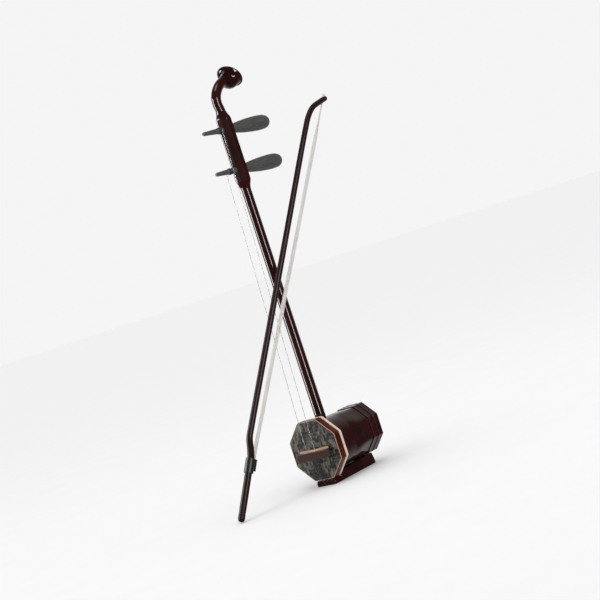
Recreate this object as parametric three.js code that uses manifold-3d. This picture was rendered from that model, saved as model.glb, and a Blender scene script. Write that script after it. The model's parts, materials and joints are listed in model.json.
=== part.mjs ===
// An erhu with its bow threaded through the strings, standing on its base.
// Millimetres. +Z runs up the neck, the snakeskin faces -Y.
// The origin is the centre of the base's flat bottom.
import * as THREE from 'three';
import { mergeVertices } from 'three/addons/utils/BufferGeometryUtils.js';
import Module from 'manifold-3d';

const wasm = await Module();
wasm.setup();

// ---------------------------------------------------------------- driving dimensions
const gap = 0.3; // air between two pieces that touch

// resonator, an octagonal tube along Y
const bodyHalfWidth = 50.5;
const bodyHalfHeight = 53;
const bodyLength = 146;
const baseThickness = 11; // under the front band
const baseLength = 125;
const baseWidth = 41;
const skinThickness = 0.8;
const bandThickness = 4.2; // radial
const bandLength = 14.2;
const creamLength = 5.6;
const creamProud = 0.3;
const staveWall = 6;
const waistHalfHeight = 46.2; // middle of the tube
const rearHalfHeight = 43.2; // just before the rear ring
const rearRingThickness = 3.2;
const rearRingHalfHeight = 44.4;
const rearRingLength = 29.5;
const ringGrooveWidth = 1.6;
const ringGrooveDepth = 1.4;
const windowThickness = 3.5;
const windowInset = 5; // from the rear end to the sound window

// neck and head
const neckSetback = 42.7; // neck axis behind the skin
const neckRadiusLow = 9.6;
const neckRadiusHigh = 8.5;
const tenonRadius = 7.5;
const tenonFloor = 3.5; // wood left below the tenon
const pegboxHalfWidth = 13;
const pegboxBottom = 541;
const pegboxTop = 658;
const shoulder = 11;
const headRadius = 8.7;
const headTop = 746;
const headReach = 54; // flare centre behind the neck axis
const flareRadius = 23.6;
const flareLean = 51; // degrees from the neck towards the rear
const flareStart = 0.6; // share of the head's line where it starts to open
const flareCurve = 2.2;
const jointLength = 14; // head tenon
const jointRadius = 4;

// pegs along Y
const lowerPegHeight = 565;
const upperPegHeight = 637;
const pegTipRadius = 3.3;
const pegShaftRadius = 5.6; // where it enters the neck
const pegTaper = 1; // more radius where it leaves the neck
const pegFront = 65; // tip in front of the neck axis
const pegRear = 115; // handle end behind the neck axis
const handleRadius = 13.5;
const pegClearance = 0.35;
const windingRise = 1.3;
const windingLength = 7;
const outerWindingReach = 29.2; // in front of the neck axis
const innerWindingReach = 21;

// strings, bridge, damper
const stringRadius = 0.45;
const stringSpread = 18; // between the strings on the bridge
const bridgeHeight = 12.2; // string height over the skin
const bridgeWidth = 61;
const bridgeThick = 3.4;
const bridgeLift = 66; // bridge height above the table
const damperDrop = 13;
const damperLayer = 2.6;
const tailSpread = 6; // between the strings at the base
const tailPinRadius = 2.2;
const tailPinReach = 15; // behind the base's front
const tailRecess = 3.4; // how deep the strings run in the base's underside
const tailGroove = 1.2; // half width
const waistPlace = 0.42; // share of the body's length from the skin
const baseInset = 1.5; // base's front behind the skin

// bow
const bowEnd = [-56, -235]; // where the handle's end stands, X and Y
const bowCrossHeight = 278; // where the hair passes between the strings
const bowCrossSide = 2.6;
const bowCrossFront = 4; // in front of the skin
const bowTwist = 28; // degrees, stick turned about the hair
const bowLength = 770;
const stickRadius = 5.6;
const tipRadius = 5;
const gripRadius = 6.1;
const gripLength = 105; // straight, up to the bend
const gripLean = 6.6; // how far the stick's line moves over that length
const stickOffset = 22; // stick's line past the bend
const stickOffsetTip = 28;
const capLength = 8.6;
const frogLength = 25;
const frogPlace = 77; // frog's lower end from the cap
const frogWall = 1.7;
const frogBed = 4.2; // hair block outside the sleeve
const frogTravel = 4;
const boreRadius = 2.8;
const screwRadius = 1.3;
const nutRadius = 2.4;
const nutLength = 9;
const nutStem = 1.3; // half width
const hairWidth = 8;
const hairThick = 1.1;
const hairKnot = 1.7; // gathered hair's radius at the tip
const hairLow = -2.3; // hair's line at the frog
const hairHigh = -9; // and at the tip

// ---------------------------------------------------------------- places worked out from them
const baseFront = -baseLength / 2;
const skinFace = baseFront - baseInset;
const rearEnd = skinFace + bodyLength;
const waistY = skinFace + bodyLength * waistPlace;
const neckY = skinFace + neckSetback;
const bodyZ = baseThickness + bodyHalfHeight;
const squash = bodyHalfWidth / bodyHalfHeight;
const octagonCorner = 1 / Math.cos(Math.PI / 8);
const bandFront = skinFace + skinThickness + gap;
const creamFront = bandFront + bandLength + gap;
const creamRear = creamFront + creamLength;
const tubeFrontHalf = bodyHalfHeight - bandThickness - gap;
const ringFront = rearEnd - rearRingLength;
const bowCross = [bowCrossSide, skinFace - bowCrossFront, bowCrossHeight];
const tubeRearHalf = rearRingHalfHeight - rearRingThickness - gap;

// ---------------------------------------------------------------- colours
const rosewood = { color: 0x3a1714, roughness: 0.18, metalness: 0 };
const bowWood = { color: 0x3a1e1c, roughness: 0.4, metalness: 0 };
const bandWood = { color: 0x4a1e16, roughness: 0.3, metalness: 0 };
const cream = { color: 0xf0d3be, roughness: 0.5, metalness: 0 };
const pegGrey = { color: 0x53534f, roughness: 0.6, metalness: 0 };
const skinColour = { color: 0x4b4a46, roughness: 0.45, metalness: 0 };
const feltBrown = { color: 0x3f2019, roughness: 0.95, metalness: 0 };
const blackPlastic = { color: 0x1b1a1a, roughness: 0.35, metalness: 0 };
const steel = { color: 0xb9bbbd, roughness: 0.3, metalness: 1 };
const brass = { color: 0xb08d4a, roughness: 0.35, metalness: 1 };
const horsehair = { color: 0xf1eee6, roughness: 0.6, metalness: 0 };

// ---------------------------------------------------------------- helpers
const root = new THREE.Group();

function add(name, geometry, look, parent = root) {
  const mesh = new THREE.Mesh(geometry, new THREE.MeshStandardMaterial(look));
  mesh.name = name;
  parent.add(mesh);
  return mesh;
}

function bare(geometry) {
  const copy = geometry.clone();
  copy.deleteAttribute('normal');
  copy.deleteAttribute('uv');
  return mergeVertices(copy, 1e-4);
}

function solid(geometry) {
  const merged = bare(geometry);
  return new wasm.Manifold(new wasm.Mesh({
    numProp: 3,
    vertProperties: new Float32Array(merged.attributes.position.array),
    triVerts: new Uint32Array(merged.index.array),
  }));
}

function geometryOf(manifold) {
  const mesh = manifold.getMesh();
  const geometry = new THREE.BufferGeometry();
  geometry.setAttribute('position', new THREE.BufferAttribute(new Float32Array(mesh.vertProperties), 3));
  geometry.setIndex(new THREE.BufferAttribute(new Uint32Array(mesh.triVerts), 1));
  geometry.computeVertexNormals();
  return geometry;
}

// the first geometry with the others cut out of it
function cut(geometry, ...cutters) {
  return geometryOf(cutters.reduce((left, cutter) => left.subtract(solid(cutter)), solid(geometry)));
}

function join(...geometries) {
  return geometryOf(geometries.map(solid).reduce((left, right) => left.add(right)));
}

function facesOut(geometry) {
  const position = geometry.attributes.position;
  const index = geometry.index;
  const [a, b, c] = [new THREE.Vector3(), new THREE.Vector3(), new THREE.Vector3()];
  let volume = 0;
  for (let i = 0; i < index.count; i += 3) {
    a.fromBufferAttribute(position, index.getX(i));
    b.fromBufferAttribute(position, index.getX(i + 1));
    c.fromBufferAttribute(position, index.getX(i + 2));
    volume += a.dot(b.cross(c));
  }
  if (volume < 0) {
    for (let i = 0; i < index.count; i += 3) {
      const first = index.getX(i);
      index.setX(i, index.getX(i + 1));
      index.setX(i + 1, first);
    }
  }
  geometry.computeVertexNormals();
  return geometry;
}

// a capped cylinder whose rings are moved to the given rings of points
function loft(rings) {
  const sides = rings[0].length;
  const steps = rings.length - 1;
  const geometry = new THREE.CylinderGeometry(1, 1, 1, sides, steps);
  const position = geometry.attributes.position;
  for (let i = 0; i < position.count; i += 1) {
    const [x, y, z] = [position.getX(i), position.getY(i), position.getZ(i)];
    const ring = rings[Math.round((0.5 - y) * steps)];
    const turn = Math.round((Math.atan2(x, z) / (2 * Math.PI)) * sides);
    const middle = new THREE.Vector3();
    ring.forEach((point) => middle.addScaledVector(point, 1 / sides));
    const place = Math.hypot(x, z) < 0.5 ? middle : ring[(turn + sides) % sides];
    position.setXYZ(i, place.x, place.y, place.z);
  }
  return facesOut(bare(geometry));
}

// round or oval sections carried along points, without twisting
function sweep(points, radii, sides, aspect = 1, start = new THREE.Vector3(1, 0, 0)) {
  let across = start.clone();
  const rings = points.map((point, i) => {
    const before = points[Math.max(i - 1, 0)];
    const after = points[Math.min(i + 1, points.length - 1)];
    const along = after.clone().sub(before).normalize();
    across = across.clone().addScaledVector(along, -across.dot(along)).normalize();
    const third = along.clone().cross(across);
    return Array.from({ length: sides }, (_, k) => {
      const angle = ((k + 0.5) / sides) * 2 * Math.PI;
      return point.clone()
        .addScaledVector(across, radii[i] * aspect * Math.cos(angle))
        .addScaledVector(third, radii[i] * Math.sin(angle));
    });
  });
  return loft(rings);
}

const v2 = ([x, y]) => new THREE.Vector2(x, y);
const v3 = ([x, y, z]) => new THREE.Vector3(x, y, z);

// an octagonal ring or disc about the body's axis: profile of [half height, y]
function octagonal(profile) {
  const points = profile.map(([half, y]) => v2([half * octagonCorner, y]));
  const geometry = new THREE.LatheGeometry(points, 8, Math.PI / 8);
  geometry.scale(squash, 1, 1);
  geometry.translate(0, 0, bodyZ);
  return facesOut(bare(geometry));
}

// a turned piece about an axis parallel to Y through (0, z): profile of [radius, y]
function turnedY(profile, z, sides) {
  const geometry = new THREE.LatheGeometry(profile.map(v2), sides);
  geometry.translate(0, 0, z);
  return facesOut(bare(geometry));
}

// a turned piece about an axis parallel to Z through (x, y): profile of [radius, z]
function turnedZ(profile, x, y, sides) {
  const geometry = new THREE.LatheGeometry(profile.map(v2), sides);
  geometry.rotateX(Math.PI / 2);
  geometry.translate(x, y, 0);
  return facesOut(bare(geometry));
}

function box(low, high) {
  const [lo, hi] = [v3(low), v3(high)];
  const size = hi.clone().sub(lo);
  const middle = hi.clone().add(lo).multiplyScalar(0.5);
  return new THREE.BoxGeometry(size.x, size.y, size.z).translate(middle.x, middle.y, middle.z);
}

const rod = (radius, z0, z1, x, y, sides) =>
  turnedZ([[0, z0], [radius, z0], [radius, z1], [0, z1]], x, y, sides);

// ---------------------------------------------------------------- resonator
const tubeStations = [
  [bandFront, tubeFrontHalf],
  [creamRear + gap, tubeFrontHalf],
  [waistY, waistHalfHeight],
  [skinFace + bodyLength * 0.62, (waistHalfHeight + rearHalfHeight) / 2],
  [ringFront - gap, rearHalfHeight],
  [ringFront - gap, tubeRearHalf],
  [rearEnd, tubeRearHalf],
];

function tubeHalfHeight(y) {
  const next = tubeStations.findIndex(([place]) => place >= y);
  if (next <= 0) return tubeStations[0][1];
  const [[y0, h0], [y1, h1]] = [tubeStations[next - 1], tubeStations[next]];
  return h0 + ((h1 - h0) * (y - y0)) / (y1 - y0);
}

function tube() {
  const outer = tubeStations.map(([y, half]) => [half, y]);
  const inner = [
    [tubeRearHalf - staveWall + 1, rearEnd],
    [rearHalfHeight - staveWall, ringFront],
    [waistHalfHeight - staveWall, waistY],
    [tubeFrontHalf - staveWall, bandFront + 8],
    [tubeFrontHalf - staveWall + 2, bandFront],
  ];
  return octagonal([...outer, ...inner, outer[0]]);
}

// eight staves: the tube between two planes through the axis, a glue line apart
function addStaves() {
  const neckHole = rod(neckRadiusLow + gap, 0, bodyZ * 2.5, 0, neckY, 24);
  const whole = solid(tube()).subtract(solid(neckHole));
  const reach = bodyHalfHeight * 2;
  const half = Math.PI / 8;
  for (let i = 0; i < 8; i += 1) {
    const wedge = new THREE.Shape([
      v2([0, 0]),
      v2([-reach * Math.tan(half), reach]),
      v2([reach * Math.tan(half), reach]),
    ]);
    const slab = new THREE.ExtrudeGeometry(wedge, { depth: bodyLength * 2, bevelEnabled: false });
    slab.translate(0, gap / 2 / Math.sin(half), -bodyLength);
    slab.rotateX(Math.PI / 2);
    slab.rotateY((i * Math.PI) / 4);
    slab.scale(squash, 1, 1);
    slab.translate(0, 0, bodyZ);
    const stave = whole.intersect(solid(facesOut(bare(slab))));
    add(`stave_${i + 1}`, geometryOf(stave), rosewood);
  }
}

function addFrontRings() {
  const inner = tubeFrontHalf + gap;
  const ring = (front, rear, outer) => octagonal([
    [inner, front], [outer, front], [outer, rear], [inner, rear], [inner, front],
  ]);
  add('front_band', ring(bandFront, bandFront + bandLength, bodyHalfHeight), bandWood);
  add('cream_binding', ring(creamFront, creamRear, bodyHalfHeight + creamProud), cream);
  const skinHalf = bodyHalfHeight - 0.4;
  add('snakeskin', octagonal([
    [0, skinFace], [skinHalf, skinFace], [skinHalf, skinFace + skinThickness], [0, skinFace + skinThickness],
  ]), skinColour);
}

function addRearRing() {
  const inner = tubeRearHalf + gap;
  const groove = ringFront + rearRingLength / 2;
  const outer = rearRingHalfHeight;
  add('rear_ring', octagonal([
    [inner, ringFront], [outer, ringFront],
    [outer, groove - ringGrooveWidth / 2], [outer - ringGrooveDepth, groove],
    [outer, groove + ringGrooveWidth / 2], [outer, rearEnd - 1], [outer - 1, rearEnd],
    [inner, rearEnd], [inner, ringFront],
  ]), rosewood);
}

// the carved panel in the rear opening: a ring of petals round a rosette
function addSoundWindow() {
  const place = rearEnd - windowInset - windowThickness;
  const half = tubeRearHalf - staveWall - gap;
  const outline = new THREE.Shape();
  for (let i = 0; i < 8; i += 1) {
    const angle = Math.PI / 8 + (i * Math.PI) / 4;
    const corner = half * octagonCorner;
    outline[i ? 'lineTo' : 'moveTo'](-corner * Math.sin(angle), corner * Math.cos(angle));
  }
  const sides = 12;
  const oval = (radius, angle, wide, tall) => new THREE.Path(Array.from({ length: sides }, (_, k) => {
    const turn = (k / sides) * 2 * Math.PI;
    const [x, y] = [wide * Math.sin(turn), radius + tall * Math.cos(turn)];
    return v2([x * Math.cos(angle) + y * Math.sin(angle), y * Math.cos(angle) - x * Math.sin(angle)]);
  }));
  for (let i = 0; i < 8; i += 1) {
    outline.holes.push(oval(half * 0.62, (i * Math.PI) / 4, half * 0.19, half * 0.27));
  }
  outline.holes.push(oval(0, 0, half * 0.17, half * 0.17));
  const panel = new THREE.ExtrudeGeometry(outline, { depth: windowThickness, bevelEnabled: false });
  panel.rotateX(-Math.PI / 2);
  panel.scale(squash, 1, 1);
  panel.translate(0, place, bodyZ);
  add('sound_window', facesOut(bare(panel)), rosewood);
}

// ---------------------------------------------------------------- base
function addBase() {
  const half = baseWidth / 2;
  const seat = (y) => bodyZ - gap - tubeHalfHeight(y);
  const underBand = baseThickness - gap - creamProud;
  const ringTop = bodyZ - rearRingHalfHeight - gap;
  const section = (y, top) => [
    [-half, y, 0], [half, y, 0], [half, y, 6], [half - 2.5, y, top], [-half + 2.5, y, top], [-half, y, 6],
  ].map(v3);
  const stations = [
    [baseFront, underBand], [creamRear + 0.6, underBand], [creamRear + 1.6, seat(creamRear + 2)],
    [waistY, seat(waistY)],
    [ringFront - 1, Math.min(seat(ringFront - 1), ringTop)], [baseLength / 2, ringTop],
  ];
  const block = loft(stations.map(([y, top]) => section(y, top)));
  const socket = rod(tenonRadius + gap, tenonFloor, 40, 0, neckY, 24);
  const pocketRear = baseFront + tailPinReach + 5;
  const pocket = box([-tailSpread, baseFront + 6, -1], [tailSpread, pocketRear, tailRecess + 2]);
  const pinHole = rod(tailPinRadius + gap, 0, baseThickness - 2.5, 0, baseFront + tailPinReach, 16);
  const grooves = [-1, 1].map((side) => {
    const x = (side * tailSpread) / 2;
    return box([x - tailGroove, baseFront - 1, -1], [x + tailGroove, baseFront + 7, tailRecess]);
  });
  add('base', cut(block, socket, pocket, pinHole, ...grooves), rosewood);
  add('tail_pin', turnedZ([
    [0, 0.9], [tailPinRadius + 0.9, 0.9], [tailPinRadius + 0.9, 1.7], [tailPinRadius, 2],
    [tailPinRadius, baseThickness - 3.2], [0, baseThickness - 3.2],
  ], 0, baseFront + tailPinReach, 16), brass);
}

// ---------------------------------------------------------------- neck and head
const jointTop = pegboxTop + shoulder;

function pegHole(z) {
  const front = -pegboxHalfWidth - 4;
  const rear = pegboxHalfWidth + 4;
  const slope = pegTaper / (2 * pegboxHalfWidth);
  const radius = (y) => pegShaftRadius + pegClearance + slope * (y + pegboxHalfWidth);
  return turnedY([
    [0, neckY + front], [radius(front), neckY + front], [radius(rear), neckY + rear], [0, neckY + rear],
  ], z, 20);
}

function addNeck() {
  const line = [
    [tenonFloor + 0.4, tenonRadius], [bodyZ - waistHalfHeight - gap, tenonRadius],
    [bodyZ - waistHalfHeight + 6, neckRadiusLow], [bodyZ + bodyHalfHeight, neckRadiusLow],
    [300, (neckRadiusLow + neckRadiusHigh) / 2], [pegboxBottom - shoulder, neckRadiusHigh],
    [pegboxBottom - shoulder / 2, neckRadiusHigh + 1.4], [pegboxBottom, pegboxHalfWidth * 0.93],
    [pegboxBottom + 3, pegboxHalfWidth],
    [pegboxTop - 4, pegboxHalfWidth], [pegboxTop, pegboxHalfWidth * 0.94],
    [pegboxTop + shoulder / 2, headRadius + 1.6], [jointTop, headRadius],
  ];
  const sides = 16;
  const rings = line.map(([z, radius]) => {
    const facetted = THREE.MathUtils.smoothstep(radius, neckRadiusHigh + 1, pegboxHalfWidth);
    return Array.from({ length: sides }, (_, k) => {
      const angle = (k / sides) * 2 * Math.PI;
      const corner = k % 2 ? octagonCorner - 1 : 0;
      const reach = radius * (1 + corner * facetted);
      return v3([reach * Math.cos(angle), neckY + reach * Math.sin(angle), z]);
    });
  });
  const socket = rod(jointRadius + gap, jointTop - jointLength, jointTop + 1, 0, neckY, 16);
  add('neck', cut(loft(rings), pegHole(lowerPegHeight), pegHole(upperPegHeight), socket), rosewood);
}

function addHead() {
  const lean = THREE.MathUtils.degToRad(flareLean);
  const facing = v3([0, Math.sin(lean), Math.cos(lean)]);
  const rim = v3([0, neckY + headReach, headTop - flareRadius * Math.sin(lean) - 0.6]);
  const low = jointTop + gap;
  const spine = new THREE.CatmullRomCurve3([
    v3([0, neckY, low + 3]),
    v3([0, neckY - 2.4, low + 13]),
    v3([0, neckY - 1, low + 24]),
    v3([0, neckY + 8, low + 37]),
    v3([0, neckY + 24, low + 48]),
    rim.clone().addScaledVector(facing, -9),
    rim,
  ], false, 'centripetal');
  const steps = 22;
  const points = spine.getSpacedPoints(steps);
  const radii = points.map((_, i) => {
    const t = i / steps;
    const flare = Math.max(0, (t - flareStart) / (1 - flareStart)) ** flareCurve;
    return headRadius - 0.3 + t * 0.8 + (flareRadius - headRadius - 0.5) * flare;
  });
  const dome = [[0.12, 0.985], [0.2, 0.8], [0.24, 0.5], [0.26, 0.2]];
  dome.forEach(([rise, share]) => {
    points.push(rim.clone().addScaledVector(facing, rise * 12));
    radii.push(flareRadius * share);
  });
  points.unshift(v3([0, neckY, low]));
  radii.unshift(headRadius);
  const body = sweep(points, radii, 20);
  const tenon = rod(jointRadius, low - jointLength + 1, low + 6, 0, neckY, 16);
  add('head', join(body, tenon), rosewood);
}

// ---------------------------------------------------------------- pegs and windings
function pegRadiusAt(reach) {
  const tipPart = (pegFront - reach) / (pegFront - pegboxHalfWidth);
  return pegTipRadius + (pegShaftRadius - pegTipRadius) * Math.min(1, tipPart);
}

function addPeg(name, z, windingName, windingReach) {
  const y = (reach) => neckY + reach;
  const handle = pegboxHalfWidth + 1;
  const span = pegRear - handle;
  const swell = [
    [0, 0.6], [0.06, 0.66], [0.25, 0.82], [0.5, 0.95], [0.75, 1], [0.88, 0.95], [0.96, 0.74], [0.99, 0.4],
  ];
  const profile = [
    [0, y(-pegFront)], [pegTipRadius * 0.7, y(-pegFront)], [pegTipRadius, y(-pegFront + 1.5)],
    [pegShaftRadius, y(-pegboxHalfWidth)], [pegShaftRadius + pegTaper, y(pegboxHalfWidth)],
    [pegShaftRadius + pegTaper, y(handle)],
    ...swell.map(([t, share]) => [handleRadius * share, y(handle + t * span)]),
    [0, y(pegRear)],
  ];
  add(name, turnedY(profile, z, 20), pegGrey);
  const half = windingLength / 2;
  const place = (side) => -windingReach + side * half;
  const inside = pegRadiusAt(windingReach - half) + gap;
  add(windingName, turnedY([
    [inside, y(place(-1))], [inside + windingRise * 0.8, y(place(-1))],
    [inside + windingRise, y(place(-0.8))],
    [inside + windingRise, y(place(0.8))], [inside + windingRise * 0.8, y(place(1))], [inside, y(place(1))],
    [inside, y(place(-1))],
  ], z, 20), steel);
}

const windingOuterRadius = (reach) => pegRadiusAt(reach - windingLength / 2) + gap + windingRise;

// ---------------------------------------------------------------- strings, bridge, damper
function addString(name, side, z, windingReach) {
  const topX = side * (windingOuterRadius(windingReach) + gap + stringRadius);
  const bridgeX = (side * stringSpread) / 2;
  const tailX = (side * tailSpread) / 2;
  const over = skinFace - bridgeHeight;
  const under = tailRecess - stringRadius - gap;
  const pinY = baseFront + tailPinReach;
  const front = baseFront - gap - stringRadius;
  const pinX = side * (tailPinRadius + gap + stringRadius);
  const points = [
    [topX, neckY - windingReach, z],
    [bridgeX, over, bridgeLift],
    [bridgeX, over, bridgeLift - bridgeThick - damperDrop],
    [tailX, front, under + 0.7],
    [tailX, front + 0.25, under + 0.2],
    [tailX, front + 0.8, under],
    [tailX, baseFront + 7, under],
    [pinX, pinY, under],
    [pinX * 0.72, pinY + tailPinRadius * 0.9, under],
  ].map(v3);
  add(name, sweep(points, points.map(() => stringRadius), 8), steel);
}

function addBridge() {
  const half = bridgeWidth / 2;
  const foot = skinFace - gap;
  const top = skinFace - bridgeHeight + stringRadius + gap;
  const shape = new THREE.Shape([
    [-half, 0], [-half + 18, 0], [-half + 21, foot - top - 7],
    [half - 21, foot - top - 7], [half - 18, 0], [half, 0],
    [half, 4.5], [stringSpread / 2 + 6, foot - top], [-stringSpread / 2 - 6, foot - top], [-half, 4.5],
  ].map(v2));
  const bridge = new THREE.ExtrudeGeometry(shape, { depth: bridgeThick, bevelEnabled: false });
  bridge.scale(1, -1, 1);
  bridge.translate(0, foot, bridgeLift - bridgeThick / 2);
  add('bridge', facesOut(bare(bridge)), cream);
}

// felt folded round the strings, the fold at one side
function addDamper() {
  const half = bridgeWidth / 2;
  const high = bridgeLift - bridgeThick / 2 - gap;
  const low = high - damperDrop;
  const line = skinFace - bridgeHeight;
  const slot = stringRadius + gap;
  const block = box([-half, line - slot - damperLayer, low], [half, skinFace - gap, high]);
  const slit = box([-half - 1, line - slot, low - 1], [half - 3, line + slot, high + 1]);
  add('felt_damper', cut(block, slit), feltBrown);
}

// ---------------------------------------------------------------- bow
// In its own frame: Z along it, Y towards the stick.
function bowGroup() {
  const end = v3([bowEnd[0], bowEnd[1], gripRadius + gap]);
  const along = v3(bowCross).sub(end).normalize();
  const up = v3([0, 0, 1]).addScaledVector(along, -along.z).normalize();
  up.applyAxisAngle(along, THREE.MathUtils.degToRad(bowTwist));
  const across = up.clone().cross(along);
  const group = new THREE.Group();
  group.quaternion.setFromRotationMatrix(new THREE.Matrix4().makeBasis(across, up, along));
  group.position.copy(end);
  root.add(group);
  return group;
}

// the grip's own frame inside the bow's: Z along the bore
function gripGroup(bow) {
  const group = new THREE.Group();
  group.rotation.x = -Math.atan2(gripLean, gripLength);
  bow.add(group);
  return group;
}

const gripLine = (u) => v3([0, (gripLean * u) / gripLength, u]);
const hairFoot = frogPlace + frogLength - 9;

function addStick(bow) {
  const spine = new THREE.CatmullRomCurve3([
    gripLine(gripLength),
    v3([0, gripLean + 5.6, gripLength + 12]),
    v3([0, stickOffset - 1.2, gripLength + 28]),
    v3([0, stickOffset, gripLength + 50]),
    v3([0, THREE.MathUtils.lerp(stickOffset, stickOffsetTip, 0.3), bowLength * 0.4]),
    v3([0, THREE.MathUtils.lerp(stickOffset, stickOffsetTip, 0.7), bowLength * 0.68]),
    v3([0, stickOffsetTip, bowLength - 80]),
    v3([0, stickOffsetTip - 1.5, bowLength - 54]),
    v3([0, stickOffsetTip - 9, bowLength - 34]),
    v3([0, hairHigh + 9, bowLength - 14]),
    v3([0, hairHigh - 5, bowLength - 1]),
  ], false, 'centripetal');
  const steps = 60;
  const grip = [capLength + gap, 40, 75, gripLength - 8].map(gripLine);
  const curve = spine.getSpacedPoints(steps);
  const points = [...grip, ...curve];
  const radii = points.map((point) => {
    const thin = THREE.MathUtils.smoothstep(point.z, gripLength - 2, gripLength + 40);
    const taper = ((tipRadius - stickRadius) * point.z) / bowLength;
    return gripRadius + (stickRadius + taper - gripRadius) * thin;
  });
  const last = curve[steps];
  const outward = last.clone().sub(curve[steps - 1]).normalize();
  [[0.5, 0.85], [0.8, 0.4]].forEach(([reach, share]) => {
    points.push(last.clone().addScaledVector(outward, tipRadius * reach));
    radii.push(tipRadius * share);
  });
  const stick = sweep(points, radii, 12);
  const bore = sweep([gripLine(0), gripLine(gripLength - 2)], [boreRadius, boreRadius], 16);
  const slotLow = frogPlace + 4 - frogTravel - 1;
  const slotHigh = frogPlace + 4 + nutLength + 1;
  const slot = box([-nutStem - gap, -gripRadius - 3, slotLow], [nutStem + gap, 0, slotHigh]);
  slot.rotateX(-Math.atan2(gripLean, gripLength));
  const hole = rod(hairKnot + 0.6, bowLength - 25, bowLength + 20, 0, hairHigh, 16);
  add('bow_stick', cut(stick, bore, slot, hole), bowWood, bow);
}

function addHair(bow) {
  const line = (u) => THREE.MathUtils.mapLinear(u, hairFoot, bowLength, hairLow, hairHigh);
  const sections = [
    [hairFoot, hairWidth / 2, hairThick / 2], [bowLength - 90, hairWidth / 2, hairThick / 2],
    [bowLength - 45, hairWidth * 0.36, hairThick * 0.75], [bowLength - 20, hairKnot, hairKnot * 0.8],
    [bowLength + 2, hairKnot, hairKnot * 0.8],
  ];
  add('bow_hair', loft(sections.map(([u, wide, thick]) => Array.from({ length: 8 }, (_, k) => {
    const angle = ((k + 0.5) / 8) * 2 * Math.PI;
    return v3([wide * Math.cos(angle) * 1.08, line(u) + thick * Math.sin(angle) * 1.08, u]);
  }))), horsehair, bow);
  add('hair_knot', turnedZ([
    [0, bowLength + 2 + gap], [2.4, bowLength + 3], [3, bowLength + 4.6],
    [2.4, bowLength + 6.2], [0, bowLength + 7],
  ], 0, hairHigh, 12), horsehair, bow);
}

function addFrog(grip) {
  const inner = gripRadius + gap;
  const outer = inner + frogWall;
  const low = frogPlace;
  const high = frogPlace + frogLength;
  const sleeve = rod(outer, low, high, 0, 0, 24);
  const half = hairWidth / 2 + 1.6;
  const block = box([-half, -outer - frogBed, low + 5], [half, -outer + 3, high]);
  const hole = rod(inner, low - 1, high + 1, 0, 0, 24);
  const mortiseY = hairLow - gripLean * (high / gripLength);
  const mortise = box(
    [-hairWidth / 2 - 0.5, mortiseY - 1.3, hairFoot - 1.5],
    [hairWidth / 2 + 0.5, mortiseY + 1.3, high + 1],
  );
  const nutLow = frogPlace + 4;
  const stemHole = box(
    [-nutStem - gap, -outer - 1, nutLow - 2 * gap],
    [nutStem + gap, 0, nutLow + nutLength + 2 * gap],
  );
  add('frog', cut(join(sleeve, block), hole, mortise, stemHole), blackPlastic, grip);
  const nut = rod(nutRadius, nutLow, nutLow + nutLength, 0, 0, 16);
  const stem = box([-nutStem, -outer + 0.4, nutLow], [nutStem, -1, nutLow + nutLength]);
  const thread = rod(screwRadius + gap, nutLow - 1, nutLow + nutLength + 1, 0, 0, 16);
  add('frog_nut', cut(join(nut, stem), thread), brass, grip);
}

function addScrew(grip) {
  const cap = turnedZ([
    [0, -gripRadius], [2.6, -gripRadius + 0.5], [4.4, -gripRadius + 2], [5.4, -gripRadius + 4],
    [gripRadius, 0], [gripRadius, capLength - 0.6], [gripRadius - 0.6, capLength], [0, capLength],
  ], 0, 0, 20);
  add('end_cap', cut(cap, rod(screwRadius + gap, 1.7, capLength + 1, 0, 0, 16)), bowWood, grip);
  add('tension_screw', rod(screwRadius, 2, gripLength - 6, 0, 0, 12), steel, grip);
}

function addBow() {
  const bow = bowGroup();
  const grip = gripGroup(bow);
  addStick(bow);
  addHair(bow);
  addFrog(grip);
  addScrew(grip);
}

addStaves();
addFrontRings();
addRearRing();
addSoundWindow();
addBase();
addNeck();
addHead();
addPeg('lower_peg', lowerPegHeight, 'outer_winding', outerWindingReach);
addPeg('upper_peg', upperPegHeight, 'inner_winding', innerWindingReach);
addString('outer_string', -1, lowerPegHeight, outerWindingReach);
addString('inner_string', 1, upperPegHeight, innerWindingReach);
addBridge();
addDamper();
addBow();

export default root;
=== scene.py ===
"""An erhu and its bow: the fine surfaces, the finishes and the studio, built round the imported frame.

Metres, +Z up the neck, the snakeskin faces -Y. Places come from the frame's own boxes and joints.
"""
import json
import math

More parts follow.
